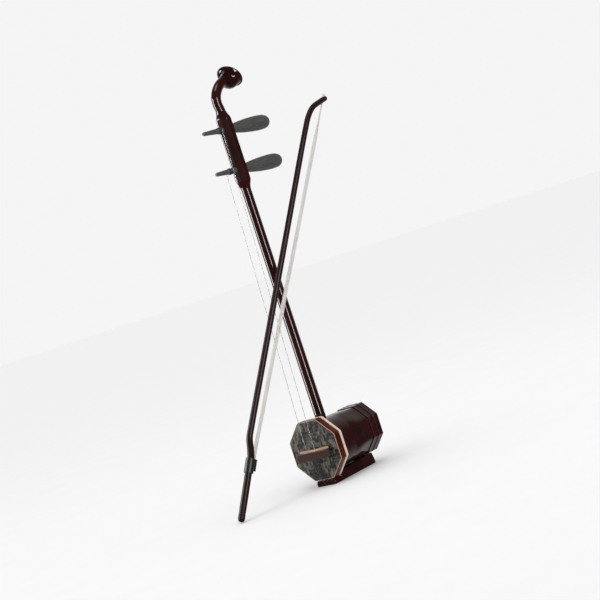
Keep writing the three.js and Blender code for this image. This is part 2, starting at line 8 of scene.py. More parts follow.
import bmesh
import bpy
import numpy as np
from mathutils import Matrix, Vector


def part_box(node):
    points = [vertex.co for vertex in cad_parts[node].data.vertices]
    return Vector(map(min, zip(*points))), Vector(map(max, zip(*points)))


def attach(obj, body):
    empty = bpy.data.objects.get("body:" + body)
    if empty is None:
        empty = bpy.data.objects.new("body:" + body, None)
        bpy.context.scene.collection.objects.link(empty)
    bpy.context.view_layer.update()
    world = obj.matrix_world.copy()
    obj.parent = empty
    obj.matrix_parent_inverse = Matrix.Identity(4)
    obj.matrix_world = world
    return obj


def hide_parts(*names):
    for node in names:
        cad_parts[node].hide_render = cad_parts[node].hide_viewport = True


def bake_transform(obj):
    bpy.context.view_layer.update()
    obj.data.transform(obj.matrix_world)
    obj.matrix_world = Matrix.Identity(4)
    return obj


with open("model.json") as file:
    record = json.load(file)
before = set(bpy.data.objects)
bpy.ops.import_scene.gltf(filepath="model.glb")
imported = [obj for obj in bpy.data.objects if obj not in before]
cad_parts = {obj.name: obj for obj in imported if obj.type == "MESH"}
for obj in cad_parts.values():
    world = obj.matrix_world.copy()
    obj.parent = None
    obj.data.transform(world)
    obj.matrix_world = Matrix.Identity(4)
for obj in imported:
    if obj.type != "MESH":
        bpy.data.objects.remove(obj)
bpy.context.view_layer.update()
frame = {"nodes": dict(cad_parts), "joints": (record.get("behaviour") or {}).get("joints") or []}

bl_info = {
    "name": "Erhu with Bow",
    "version": (1, 0, 0),
    "blender": (4, 5, 0),
    "location": "View3D > Sidebar > Erhu",
    "description": "Builds the surfaces, finishes and studio of an erhu round its frame",
    "category": "Object",
}

MM = 0.001


# ---------------------------------------------------------------- places taken from the frame
def corners(node):
    """A node's lowest and highest corner as arrays."""
    low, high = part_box(node)
    return np.array(low), np.array(high)


def joint(name):
    """The frame's joint of that name."""
    return next(found for found in frame["joints"] if found["name"] == name)


SKIN = corners("snakeskin")
BAND = corners("front_band")
BINDING = corners("cream_binding")
REAR = corners("rear_ring")
WINDOW = corners("sound_window")
BASE = corners("base")
NECK = corners("neck")
HEAD = corners("head")
BODY_Z = (BAND[0][2] + BAND[1][2]) / 2
HALF_HEIGHT = (BAND[1][2] - BAND[0][2]) / 2
SQUASH = (BAND[1][0] - BAND[0][0]) / (BAND[1][2] - BAND[0][2])
NECK_Y = (NECK[0][1] + NECK[1][1]) / 2
SKIN_FACE = SKIN[0][1]
BAND_FRONT = BAND[0][1]
BINDING_REAR = BINDING[1][1]
RING_FRONT = REAR[0][1]
REAR_END = REAR[1][1]


def bow_axes():
    """The bow's own axes as rows, and where they start. Z runs along the stroke. Y, from the hair towards the
    stick, is the part of the screw's axis square to the stroke, and X is square to both."""
    along = np.array(joint("bow_stroke")["axis"])
    along = along / np.linalg.norm(along)
    screw = np.array(joint("screw_turn")["axis"])
    towards = screw - (screw @ along) * along
    towards = towards / np.linalg.norm(towards)
    return np.array([np.cross(towards, along), towards, along]), np.array(joint("screw_turn")["pos_m"])


BOW_AXES, BOW_START = bow_axes()


def grip_axes():
    """The grip's axes as rows: Z along the screw, X as the bow's."""
    screw = np.array(joint("screw_turn")["axis"])
    screw = screw / np.linalg.norm(screw)
    return np.array([BOW_AXES[0], np.cross(screw, BOW_AXES[0]), screw])


GRIP_AXES = grip_axes()


def in_bow(points):
    """Points of the bow's own frame, put in the part's frame."""
    return BOW_START + np.asarray(points) @ BOW_AXES


def in_grip(points):
    """Points of the grip's own frame, put in the part's frame."""
    return BOW_START + np.asarray(points) @ GRIP_AXES


# ---------------------------------------------------------------- colours
def linear(code):
    """Linear red, green and blue of an sRGB hex code: c / 12.92 up to 0.04045, and
    ((c + 0.055) / 1.055) ** 2.4 above it."""
    channels = np.array([int(code[i:i + 2], 16) / 255 for i in (1, 3, 5)])
    low = channels / 12.92
    high = ((channels + 0.055) / 1.055) ** 2.4
    return tuple(np.where(channels <= 0.04045, low, high).tolist())


def colour(name, description, code):
    """A colour setting whose default is that hex code."""
    return bpy.props.FloatVectorProperty(
        name=name, description=description, subtype="COLOR", size=3, min=0, max=1, default=linear(code)
    )


def length(name, description, millimetres):
    """A length setting with that default."""
    return bpy.props.FloatProperty(
        name=name, description=description, unit="LENGTH", subtype="DISTANCE", precision=5,
        default=millimetres * MM,
    )


def number(name, description, value):
    """A plain number setting."""
    return bpy.props.FloatProperty(name=name, description=description, default=value)


# ---------------------------------------------------------------- settings
class ErhuBodySizes(bpy.types.PropertyGroup):
    """Sizes of the resonator that its boxes don't give."""

    wall: length("Stave wall", "Thickness of the staves", 6)
    front_half: length("Front half height", "Tube under the front band, axis to flat", 48.4)
    waist_half: length("Waist half height", "Tube at its middle, axis to flat", 46.0)
    rear_half: length("Rear half height", "Tube just before the rear ring, axis to flat", 43.0)
    ring_seat: length("Ring seat", "Tube under the rear ring, axis to flat", 40.8)
    glue_line: length("Glue line", "Air between two staves", 0.03)
    waist_place: number("Waist place", "Share of the tube's length from the skin to its waist", 0.42)
    edge_round: length("Edge round", "Rounding on the rings' edges", 0.9)
    groove_depth: length("Groove depth", "Groove round the rear ring", 1.3)
    groove_width: length("Groove width", "Groove round the rear ring", 1.7)
    skin_edge: length("Skin edge", "Width of the trimmed edge of the skin", 0.9)


class ErhuNeckSizes(bpy.types.PropertyGroup):
    """Sizes of the neck and the head."""

    low_radius: length("Low radius", "Neck at the resonator", 9.6)
    high_radius: length("High radius", "Neck under the peg section", 8.5)
    tenon_radius: length("Tenon radius", "Neck inside the resonator's floor", 7.5)
    peg_half: length("Peg section half width", "Axis to flat", 13)
    peg_bottom: length("Peg section bottom", "Height over the table", 541)
    peg_top: length("Peg section top", "Height over the table", 658)
    shoulder: length("Shoulder", "Length of the slope at either end of the peg section", 11)
    head_radius: length("Head radius", "Where the head joins the neck", 8.7)
    flare_radius: length("Flare radius", "Rim of the head's trumpet", 23.4)
    flare_lean: bpy.props.FloatProperty(
        name="Flare lean", description="How far the rim leans to the rear", subtype="ANGLE",
        default=math.radians(51),
    )
    flare_reach: length("Flare reach", "Rim's centre behind the neck axis", 54)
    flare_start: number("Flare start", "Share of the head's line where it starts to open", 0.6)
    flare_curve: number("Flare curve", "Power by which the trumpet opens", 2.2)


class ErhuPegSizes(bpy.types.PropertyGroup):
    """Sizes of the tuning pegs and what winds on them."""

    tip_radius: length("Tip radius", "Peg's front end", 3.3)
    shaft_radius: length("Shaft radius", "Where the peg enters the neck", 5.5)
    taper: length("Taper", "More radius where it leaves the neck", 1)
    front: length("Front reach", "Tip in front of the neck axis", 65)
    rear: length("Rear reach", "Handle's end behind the neck axis", 115)
    handle_radius: length("Handle radius", "Thickest part of the handle", 13.4)
    flute_depth: length("Flute depth", "Flutes along the handle", 0.55)
    flutes: bpy.props.IntProperty(name="Flutes", description="Flutes round the handle", default=12)
    hole_air: length("Hole air", "Air between a peg and its hole", 0.25)


class ErhuStringSizes(bpy.types.PropertyGroup):
    """Sizes of the strings, the bridge and the damper."""

    radius: length("String radius", "Both strings", 0.42)
    spread: length("Spread", "Between the strings on the bridge", 18)
    over_skin: length("Over skin", "Strings over the skin at the bridge", 12.2)
    bridge_lift: length("Bridge lift", "Bridge over the table", 66)
    bridge_thick: length("Bridge thickness", "Along the strings", 3.4)
    damper_drop: length("Damper drop", "Felt under the bridge", 13)
    tail_spread: length("Tail spread", "Between the strings at the base", 6)
    pin_reach: length("Pin reach", "Tail pin behind the base's front", 15)
    coil_turns: number("Coil turns", "Turns of string on a peg", 7)


class ErhuBowSizes(bpy.types.PropertyGroup):
    """Sizes of the bow, in its own frame."""

    span: length("Bow length", "Handle's end to the hair's exit", 770)
    stick_radius: length("Stick radius", "Past the bend", 5.55)
    tip_radius: length("Tip radius", "Stick's upper end", 4.95)
    grip_radius: length("Grip radius", "Handle", 6.05)
    grip_length: length("Grip length", "Straight part, up to the bend", 105)
    grip_lean: length("Grip lean", "How far the stick's line moves over the grip", 6.6)
    stick_offset: length("Stick offset", "Stick's line past the bend", 22)
    stick_offset_tip: length("Stick offset at the tip", "Stick's line before the tip's curve", 28)
    cap_length: length("Cap length", "Turning end of the handle", 8.6)
    frog_place: length("Frog place", "Frog's lower end", 77)
    frog_length: length("Frog length", "Sleeve's length", 25)
    bore_radius: length("Bore radius", "Hole for the screw", 2.8)
    hair_width: length("Hair width", "Ribbon at the frog", 8)
    hair_thick: length("Hair thickness", "Ribbon at the frog", 1.1)
    hair_low: length("Hair low", "Hair's line at the frog", -2.3)
    hair_high: length("Hair high", "Hair's line at the tip", -9)
    knot_radius: length("Knot radius", "Gathered hair at the tip", 1.5)
    hairs: bpy.props.IntProperty(
        name="Hairs", description="Strands drawn, each for two or three hairs", default=72
    )


class ErhuColours(bpy.types.PropertyGroup):
    """Colours of the finishes."""

    rosewood_dark: colour("Rosewood, dark", "Streaks under the lacquer", "#220a08")
    rosewood_light: colour("Rosewood, light", "Ground under the lacquer", "#34100d")
    band_dark: colour("Band, dark", "Streaks of the front band", "#2c110a")
    band_light: colour("Band, light", "Ground of the front band", "#5a2312")
    binding: colour("Binding", "Cream strip behind the band", "#efd2bc")
    skin_dark: colour("Skin, dark", "Blotches of the snakeskin", "#101111")
    skin_pale: colour("Skin, pale", "Ground of the snakeskin", "#756e64")
    skin_edge: colour("Skin edge", "Trimmed edge of the skin", "#d9b495")
    peg: colour("Pegs", "Grey-black wood", "#4b4b4a")
    bamboo: colour("Bow stick", "Stained bamboo", "#341b17")
    bamboo_dark: colour("Bow stick, dark", "Fibres of the bamboo", "#1f0f0d")
    black: colour("Frog", "Black moulding", "#171717")
    felt: colour("Felt", "Brown felt", "#3c2119")
    maple: colour("Bridge", "Pale maple", "#d6aa84")
    hair: colour("Horsehair", "Bleached hair", "#fbf9f3")
    steel: colour("Steel", "Strings and screw", "#a2a4a6")
    brass: colour("Brass", "Tail pin and nut", "#c79a4c")
    paper: colour("Studio", "Floor and backdrop", "#f6f6f6")


class ErhuStudio(bpy.types.PropertyGroup):
    """Camera and lights."""

    aim: bpy.props.FloatVectorProperty(
        name="Aim", description="Point in the middle of the picture", subtype="TRANSLATION",
        default=(0.0360, -0.0201, 0.3180),
    )
    distance: length("Distance", "Camera to aim", 2750)
    azimuth: bpy.props.FloatProperty(
        name="Azimuth", description="Camera's place round the object", subtype="ANGLE",
        default=math.radians(38.05),
    )
    elevation: bpy.props.FloatProperty(
        name="Elevation", description="Camera above the horizon", subtype="ANGLE", default=math.radians(1.80),
    )
    roll: bpy.props.FloatProperty(
        name="Roll", description="Camera turned about its own axis", subtype="ANGLE",
        default=math.radians(-18.08),
    )
    lens: number("Lens", "Focal length in millimetres on a 36 mm sensor", 95.88)
    floor_radius: length("Floor radius", "The studio floor", 30000)
    sky: number("Sky", "Strength of the even light", 0.96)
    seen_sky: number("Seen sky", "Strength of the even light behind the object", 0.91)
    mirrored_room: number("Mirrored room", "Strength of the room behind the camera in reflections", 0.04)
    mirrored_backdrop: number("Mirrored backdrop", "Strength of the backdrop in reflections", 0.75)


GROUPS = {
    "erhu_body": ErhuBodySizes,
    "erhu_neck": ErhuNeckSizes,
    "erhu_pegs": ErhuPegSizes,
    "erhu_strings": ErhuStringSizes,
    "erhu_bow": ErhuBowSizes,
    "erhu_colours": ErhuColours,
    "erhu_studio": ErhuStudio,
}


# ---------------------------------------------------------------- surfaces
def grid_faces(rows, columns, wrap, first):
    """Quads of a grid of points and the two n-gons that close it. wrap says whether the rows and the columns
    run round; first is the number of its first point."""
    index = first + np.arange(rows * columns).reshape(rows, columns)
    near = index if wrap[0] else index[:-1]
    far = np.roll(index, -1, axis=0) if wrap[0] else index[1:]
    quads = np.stack([near, np.roll(near, -1, axis=1), np.roll(far, -1, axis=1), far], axis=-1)
    if not wrap[1]:
        quads = quads[:, :-1]
    faces = quads.reshape(-1, 4).tolist()
    if not wrap[0]:
        faces += [index[0][::-1].tolist(), index[-1].tolist()]
    if not wrap[1]:
        faces += [index[:, 0].tolist(), index[:, -1][::-1].tolist()]
    return faces


def surface(name, *grids, wrap=(False, True)):
    """One mesh object from closed grids of points (rows, columns, 3), faces outwards."""
    points = np.concatenate([grid.reshape(-1, 3) for grid in grids])
    faces = []
    first = 0
    for grid in grids:
        faces += grid_faces(grid.shape[0], grid.shape[1], wrap, first)
        first += grid.shape[0] * grid.shape[1]
    mesh = bpy.data.meshes.new(name)
    mesh.from_pydata(points.tolist(), [], faces)
    fresh = bmesh.new()
    fresh.from_mesh(mesh)
    bmesh.ops.remove_doubles(fresh, verts=fresh.verts, dist=1e-7)
    bmesh.ops.recalc_face_normals(fresh, faces=fresh.faces)
    fresh.to_mesh(mesh)
    fresh.free()
    piece = bpy.data.objects.new(name, mesh)
    bpy.context.scene.collection.objects.link(piece)
    return smooth(piece)


def smooth(piece, crease=34):
    """Smooth shading, with edges sharper than crease degrees left sharp."""
    piece.data.shade_smooth()
    piece.data.set_sharp_from_angle(angle=math.radians(crease))
    return piece


def node_copy(name, node):
    """A CAD node's solid as a new piece: its loose triangles merged, and flat faces made whole."""
    fresh = bmesh.new()
    fresh.from_mesh(frame["nodes"][node].data)
    bmesh.ops.remove_doubles(fresh, verts=fresh.verts, dist=1e-6)
    bmesh.ops.dissolve_limit(fresh, angle_limit=math.radians(1), verts=fresh.verts, edges=fresh.edges)
    bmesh.ops.recalc_face_normals(fresh, faces=fresh.faces)
    mesh = bpy.data.meshes.new(name)
    fresh.to_mesh(mesh)
    fresh.free()
    piece = bpy.data.objects.new(name, mesh)
    bpy.context.scene.collection.objects.link(piece)
    return smooth(piece)


def soften(piece, width, segments=3):
    """A small round along the piece's sharp edges."""
    bevel = piece.modifiers.new("edge round", "BEVEL")
    bevel.width = width
    bevel.segments = segments
    bevel.limit_method = "ANGLE"
    bevel.angle_limit = math.radians(30)
    bevel.harden_normals = True
    return piece


def carve(piece, *grids):
    """Cuts closed grids out of a piece, as a drill or a chisel does."""
    for grid in grids:
        tool = surface("tool", grid)
        cut = piece.modifiers.new("cut", "BOOLEAN")
        cut.operation = "DIFFERENCE"
        cut.solver = "EXACT"
        cut.object = tool
        graph = bpy.context.evaluated_depsgraph_get()
        mesh = bpy.data.meshes.new_from_object(piece.evaluated_get(graph))
        piece.modifiers.clear()
        piece.data = mesh
        bpy.data.objects.remove(tool)
    return smooth(piece)


def unit(vectors):
    """The vectors, each at length 1."""
    return vectors / np.linalg.norm(vectors, axis=-1, keepdims=True)


def carried(path, radii, across, sides=48, shape=None):
    """Rings round a path. Each ring lies square to the path, its first radius along `across` and its second
    square to that; shape multiplies the radius at each point and angle."""
    along = unit(np.gradient(path, axis=0))
    side = unit(across - (along @ across)[:, None] * along)
    third = np.cross(along, side)
    radii = np.asarray(radii, float)
    wide, tall = (radii, radii) if radii.ndim == 1 else radii.T
    turn = np.linspace(0, 2 * np.pi, sides, endpoint=False)
    shape = np.ones((len(path), sides)) if shape is None else shape
    offset = (wide[:, None] * np.cos(turn) * shape)[..., None] * side[:, None]
    offset = offset + (tall[:, None] * np.sin(turn) * shape)[..., None] * third[:, None]
    return path[:, None] + offset


def smooth_path(points, count):
    """A centripetal Catmull-Rom curve through the points, as count points at even steps: on each span a cubic
    whose end slopes weigh the neighbouring chords by the square roots of their lengths."""
    points = np.asarray(points, float)
    padded = np.vstack([2 * points[0] - points[1], points, 2 * points[-1] - points[-2]])
    step = np.linalg.norm(np.diff(padded, axis=0), axis=1)[:, None] ** 0.5
    p0, p1, p2, p3 = padded[:-3], padded[1:-2], padded[2:-1], padded[3:]
    d0, d1, d2 = step[:-2], step[1:-1], step[2:]
    leave = ((p1 - p0) / d0 - (p2 - p0) / (d0 + d1) + (p2 - p1) / d1) * d1
    arrive = ((p2 - p1) / d1 - (p3 - p1) / (d1 + d2) + (p3 - p2) / d2) * d1
    t = np.linspace(0, 1, 40, endpoint=False)[None, :, None]
    p1, p2, leave, arrive = (array[:, None] for array in (p1, p2, leave, arrive))
    curve = (2 * t**3 - 3 * t**2 + 1) * p1 + (t**3 - 2 * t**2 + t) * leave
    curve = curve + (3 * t**2 - 2 * t**3) * p2 + (t**3 - t**2) * arrive
    fine = np.vstack([curve.reshape(-1, points.shape[1]), points[-1]])
    run = np.concatenate([[0], np.cumsum(np.linalg.norm(np.diff(fine, axis=0), axis=1))])
    even = np.linspace(0, run[-1], count)
    return np.stack([np.interp(even, run, fine[:, i]) for i in range(points.shape[1])], axis=1)


def rounded(outline, radius, steps=6, closed=True):
    """The outline with each corner replaced by a parabola that leaves one side and meets the next `radius`
    from the corner, or halfway along a shorter side."""
    outline = np.asarray(outline, float)
    before = np.roll(outline, 1, axis=0) - outline
    after = np.roll(outline, -1, axis=0) - outline
    sides = [0.49 * np.linalg.norm(side, axis=1) for side in (before, after)]
    reach = [np.minimum(radius, side)[:, None, None] for side in sides]
    start = outline[:, None] + reach[0] * unit(before)[:, None]
    end = outline[:, None] + reach[1] * unit(after)[:, None]
    t = np.linspace(0, 1, steps)[None, :, None]
    bends = (1 - t) ** 2 * start + 2 * t * (1 - t) * outline[:, None] + t**2 * end
    if closed:
        return bends.reshape(-1, outline.shape[1])
    return np.vstack([outline[:1], bends[1:-1].reshape(-1, outline.shape[1]), outline[-1:]])


def denser(line, step):
    """The polyline with points added so that none are further apart than about step."""
    line = np.asarray(line, float)
    spans = np.linalg.norm(np.diff(line, axis=0), axis=1)
    parts = [
        line[i] + (line[i + 1] - line[i]) * np.arange(count)[:, None] / count
        for i, count in enumerate(np.maximum(1, np.ceil(spans / step)).astype(int))
    ]
    return np.vstack([*parts, line[-1:]])


def smoothstep(value, low, high):
    """0 below low, 1 above high, and 3t^2 - 2t^3 between."""
    t = np.clip((value - low) / (high - low), 0, 1)
    return t * t * (3 - 2 * t)


def octagon(turn, power):
    """How far out an eight-sided outline lies at each angle, its flats at 1: the sum of the powers of the
    cosines to the four pairs of flats, to the minus one over power. A high power has crisp corners."""
    flats = np.arange(4) * np.pi / 4
    cosines = np.abs(np.cos(np.asarray(turn)[..., None] - flats))
    power = np.asarray(power, float)
    return np.sum(cosines ** power[..., None], axis=-1) ** (-1 / power)


def sector(count, gap_angle=0.0):
    """Angles across one side of the octagon, closer together towards its corners: 22.5 degrees times the sine
    of an even run from -90 to 90."""
    return (np.pi / 8 - gap_angle) * np.sin(np.linspace(-np.pi / 2, np.pi / 2, count))


def octagonal(profile, power, turn):
    """A profile of [axis to flat, y] carried round the resonator's axis at the angles given."""
    profile = np.asarray(profile, float)
    power = np.broadcast_to(power, (len(profile), len(turn)))
    reach = profile[:, :1] * octagon(turn[None, :], power)
    along = np.broadcast_to(profile[:, 1:2], reach.shape)
    return np.stack([SQUASH * reach * np.sin(turn), along, BODY_Z + reach * np.cos(turn)], axis=-1)


def all_round(count=18):
    """Angles once round the octagon."""
    return np.concatenate([i * np.pi / 4 + sector(count)[:-1] for i in range(8)])


def ring_piece(name, profile, power=90):
    """A closed profile of [axis to flat, y] carried once round the resonator."""
    return surface(name, octagonal(profile, power, all_round()), wrap=(True, True))


def turned(profile, centre, axes=None, sides=64, shape=None):
    """A profile of [radius, place along the axis] turned about the third of the axes through the centre."""
    axes = np.eye(3) if axes is None else axes
    profile = np.asarray(profile, float)
    turn = np.linspace(0, 2 * np.pi, sides, endpoint=False)
    reach = profile[:, :1] * (1 if shape is None else shape)
    reach = np.broadcast_to(reach, (len(profile), sides))
    along = np.broadcast_to(profile[:, 1:2], reach.shape)
    local = np.stack([reach * np.cos(turn), reach * np.sin(turn), along], axis=-1)
    return centre + local @ axes


Y_AXES = np.array([[0.0, 0.0, 1.0], [1.0, 0.0, 0.0], [0.0, 1.0, 0.0]])


# ---------------------------------------------------------------- materials
def add_node(tree, kind, inputs=None, stops=None, **settings):
    """A node with its settings; an input is a value or the socket that feeds it, and stops are a ramp's
    places and colours."""
    node = tree.nodes.new(kind)
    for key, value in settings.items():
        setattr(node, key, value)
    for key, value in (inputs or {}).items():
        if isinstance(value, bpy.types.NodeSocket):
            tree.links.new(value, node.inputs[key])
        else:
            node.inputs[key].default_value = value
    if stops:
        ramp = node.color_ramp
        for place, shade in stops[2:]:
            ramp.elements.new(place)
        for element, (place, shade) in zip(ramp.elements, stops):
            element.position = place
            element.color = (*shade, 1)
    return node


def new_material(name):
    """An empty material, its node tree and the Object coordinates, in metres."""
    material = bpy.data.materials.new(name)
    material.use_nodes = True
    tree = material.node_tree
    tree.nodes.clear()
    place = add_node(tree, "ShaderNodeTexCoord").outputs["Object"]
    return material, tree, place


def close_material(material, tree, shader, height=None, bump=0.0, depth=0.0):
    """Joins the shader's inputs to the output, with a bump of that strength and depth from height."""
    if height is not None:
        inputs = {"Height": height, "Strength": bump, "Distance": depth}
        shader = {**shader, "Normal": add_node(tree, "ShaderNodeBump", inputs).outputs["Normal"]}
    principled = add_node(tree, "ShaderNodeBsdfPrincipled", shader)
    add_node(tree, "ShaderNodeOutputMaterial", {"Surface": principled.outputs["BSDF"]})
    return material


def streaks(tree, place, size, turn=(0, 0, 0), detail=4.0):
    """Noise whose grains are `size` millimetres along the three turned axes."""
    scale = tuple(1 / (millimetres * MM) for millimetres in size)
    turned_place = add_node(tree, "ShaderNodeMapping", {"Vector": place, "Rotation": turn}).outputs["Vector"]
    mapped = add_node(tree, "ShaderNodeMapping", {"Vector": turned_place, "Scale": scale})
    inputs = {"Vector": mapped.outputs["Vector"], "Scale": 1.0, "Detail": detail, "Roughness": 0.55}
    return add_node(tree, "ShaderNodeTexNoise", inputs).outputs["Fac"]


def cloud_of(tree, place, scale, detail):
    """Even noise of that scale per metre."""
    return add_node(
        tree, "ShaderNodeTexNoise", {"Vector": place, "Scale": scale, "Detail": detail}
    ).outputs["Fac"]


def lacquered(name, dark, light, size, turn=(0, 0, 0), coat=0.9):
    """Lacquered rosewood, stained, sprayed with clear lacquer and buffed. Fine dark streaks run with the
    grain under a smooth clear coat, so it shows deep red where light falls and sharp white reflections."""
    material, tree, place = new_material(name)
    grain = streaks(tree, place, size, turn)
    cloud = cloud_of(tree, place, 22.0, 2.0)
    both = add_node(tree, "ShaderNodeMath", {0: grain, 1: cloud}, operation="ADD").outputs[0]
    mean = add_node(tree, "ShaderNodeMath", {0: both, 1: 0.5}, operation="MULTIPLY").outputs[0]
    shade = add_node(tree, "ShaderNodeValToRGB", {"Fac": mean}, stops=[(0.40, dark), (0.60, light)])
    rough = add_node(tree, "ShaderNodeMapRange", {"Value": cloud, "To Min": 0.32, "To Max": 0.45})
    shader = {
        "Base Color": shade.outputs["Color"], "Roughness": rough.outputs["Result"],
        "Specular IOR Level": 0.03, "Coat Weight": coat, "Coat Roughness": 0.035, "Coat IOR": 1.5,
    }
    return close_material(material, tree, shader, cloud, 0.04, 0.4 * MM)


def stained_bamboo(name, dark, light, turn):
    """Bamboo cane, heated, bent, stained and wiped with oil. Long fibres run the whole stick and the sheen is
    broad and soft."""
    material, tree, place = new_material(name)
    fibres = streaks(tree, place, (1.2, 1.2, 90), turn, 3.0)
    shade = add_node(tree, "ShaderNodeValToRGB", {"Fac": fibres}, stops=[(0.38, dark), (0.62, light)])
    rough = add_node(tree, "ShaderNodeMapRange", {"Value": fibres, "To Min": 0.30, "To Max": 0.46})
    shader = {
        "Base Color": shade.outputs["Color"], "Roughness": rough.outputs["Result"],
        "Specular IOR Level": 0.15, "Coat Weight": 0.12, "Coat Roughness": 0.2,
    }
    return close_material(material, tree, shader, fibres, 0.12, 0.2 * MM)


def oiled_ebony(name, tint):
    """Grey-black peg wood, turned, fluted and rubbed with chalk so that it grips. It is matt, with faint pale
    streaks along its length."""
    material, tree, place = new_material(name)
    grain = streaks(tree, place, (0.9, 40, 0.9))
    darker = tuple(0.62 * part for part in tint)
    paler = tuple(min(1, 1.35 * part + 0.01) for part in tint)
    shade = add_node(tree, "ShaderNodeValToRGB", {"Fac": grain}, stops=[(0.30, darker), (0.70, paler)])
    rough = add_node(tree, "ShaderNodeMapRange", {"Value": grain, "To Min": 0.44, "To Max": 0.62})
    shader = {
        "Base Color": shade.outputs["Color"], "Roughness": rough.outputs["Result"],
        "Specular IOR Level": 0.45,
    }
    return close_material(material, tree, shader, grain, 0.15, 0.2 * MM)


def celluloid(name, tint):
    """Cream celluloid binding, bent on warm and polished. It is nearly even in colour, with a faint pearly
    cloud and a soft shine."""
    material, tree, place = new_material(name)
    cloud = cloud_of(tree, place, 140.0, 3.0)
    darker = tuple(0.80 * part for part in tint)
    shade = add_node(tree, "ShaderNodeValToRGB", {"Fac": cloud}, stops=[(0.3, darker), (0.62, tint)])
    shader = {
        "Base Color": shade.outputs["Color"], "Roughness": 0.32, "Subsurface Weight": 0.08,
        "Subsurface Scale": 0.001, "Coat Weight": 0.2, "Coat Roughness": 0.1,
    }
    return close_material(material, tree, shader, cloud, 0.05, 0.1 * MM)


def python_skin(name, dark, pale):
    """Python skin, soaked, stretched, glued and oiled. Scales about 3.4 by 6 mm lie in rows up the neck's
    direction, each of one tone, dark in blotches and grey-brown between them, with fine folds round each."""
    material, tree, place = new_material(name)
    scale = (1 / (3.4 * MM), 1 / (40 * MM), 1 / (6.0 * MM))
    mapped = add_node(tree, "ShaderNodeMapping", {"Vector": place, "Scale": scale}).outputs["Vector"]
    cells = add_node(tree, "ShaderNodeTexVoronoi", {"Vector": mapped, "Scale": 1.0, "Randomness": 0.55})
    edges = add_node(
        tree, "ShaderNodeTexVoronoi", {"Vector": mapped, "Scale": 1.0, "Randomness": 0.55},
        feature="DISTANCE_TO_EDGE",
    )
    spread = {
        "Vector": cells.outputs["Position"], "Scale": 0.17, "Detail": 2.0, "Roughness": 0.6,
        "Distortion": 0.6,
    }
    blotch = add_node(tree, "ShaderNodeTexNoise", spread).outputs["Fac"]
    tone = add_node(tree, "ShaderNodeSeparateColor", {"Color": cells.outputs["Color"]}).outputs[0]
    jitter = add_node(tree, "ShaderNodeMapRange", {"Value": tone, "To Min": -0.10, "To Max": 0.10})
    mixed = add_node(tree, "ShaderNodeMath", {0: blotch, 1: jitter.outputs["Result"]}, operation="ADD")
    middle = tuple((a + b) / 2.6 for a, b in zip(dark, pale))
    shade = add_node(
        tree, "ShaderNodeValToRGB", {"Fac": mixed.outputs[0]},
        stops=[(0.49, dark), (0.56, middle), (0.68, pale)],
    )
    fold = add_node(
        tree, "ShaderNodeMapRange",
        {"Value": edges.outputs["Distance"], "From Min": 0.0, "From Max": 0.13, "To Min": 1.0, "To Max": 0.0},
    ).outputs["Result"]
    fleck = add_node(tree, "ShaderNodeMath", {0: fold, 1: tone}, operation="MULTIPLY").outputs[0]
    faded = add_node(
        tree, "ShaderNodeMix", {0: fleck, 6: shade.outputs["Color"], 7: (*pale, 1)}, data_type="RGBA",
    )
    shader = {
        "Base Color": faded.outputs[2], "Roughness": 0.42, "Specular IOR Level": 0.16,
        "Coat Weight": 0.05, "Coat Roughness": 0.25,
    }
    return close_material(material, tree, shader, edges.outputs["Distance"], 0.5, 0.35 * MM)


def rawhide(name, tint):
    """The skin's trimmed edge: dry, fibrous and pale, with no shine."""
    material, tree, place = new_material(name)
    fibres = streaks(tree, place, (2, 1, 2))
    darker = tuple(0.62 * part for part in tint)
    shade = add_node(tree, "ShaderNodeValToRGB", {"Fac": fibres}, stops=[(0.3, darker), (0.6, tint)])
    return close_material(
        material, tree, {"Base Color": shade.outputs["Color"], "Roughness": 0.8}, fibres, 0.4, 0.1 * MM
    )


def pressed_felt(name, tint):
    """Brown wool felt, pressed and cut. Short tangled fibres, drawn 0.6 mm wide so that they show, catch the
    light along the edges."""
    material, tree, place = new_material(name)
    tangle = streaks(tree, place, (0.6, 0.6, 0.6), detail=6.0)
    darker = tuple(0.45 * part for part in tint)
    paler = tuple(min(1, 1.5 * part) for part in tint)
    shade = add_node(tree, "ShaderNodeValToRGB", {"Fac": tangle}, stops=[(0.35, darker), (0.68, paler)])
    shader = {
        "Base Color": shade.outputs["Color"], "Roughness": 0.95, "Specular IOR Level": 0.1,
        "Sheen Weight": 0.35, "Sheen Roughness": 0.5,
    }
    return close_material(material, tree, shader, tangle, 0.7, 0.4 * MM)


def bare_maple(name, tint):
    """Pale maple, sawn and sanded, with no finish. Fine brown flecks run with the grain across the bridge."""
    material, tree, place = new_material(name)
    grain = streaks(tree, place, (9, 0.7, 0.7))
    darker = tuple(0.66 * part for part in tint)
    shade = add_node(tree, "ShaderNodeValToRGB", {"Fac": grain}, stops=[(0.30, darker), (0.58, tint)])
    return close_material(
        material, tree, {"Base Color": shade.outputs["Color"], "Roughness": 0.6}, grain, 0.15, 0.15 * MM
    )


def moulded_black(name, tint):
    """Black ABS from a mould with a fine spark texture of about 0.4 mm, which gives a broad dull shine."""
    material, tree, place = new_material(name)
    spark = streaks(tree, place, (0.4, 0.4, 0.4), detail=2.0)
    rough = add_node(tree, "ShaderNodeMapRange", {"Value": spark, "To Min": 0.30, "To Max": 0.46})
    paler = tuple(part * 1.8 + 0.004 for part in tint)
    shade = add_node(tree, "ShaderNodeValToRGB", {"Fac": spark}, stops=[(0.35, tint), (0.75, paler)])
    shader = {"Base Color": shade.outputs["Color"], "Roughness": rough.outputs["Result"]}
    return close_material(material, tree, shader, spark, 0.2, 0.08 * MM)


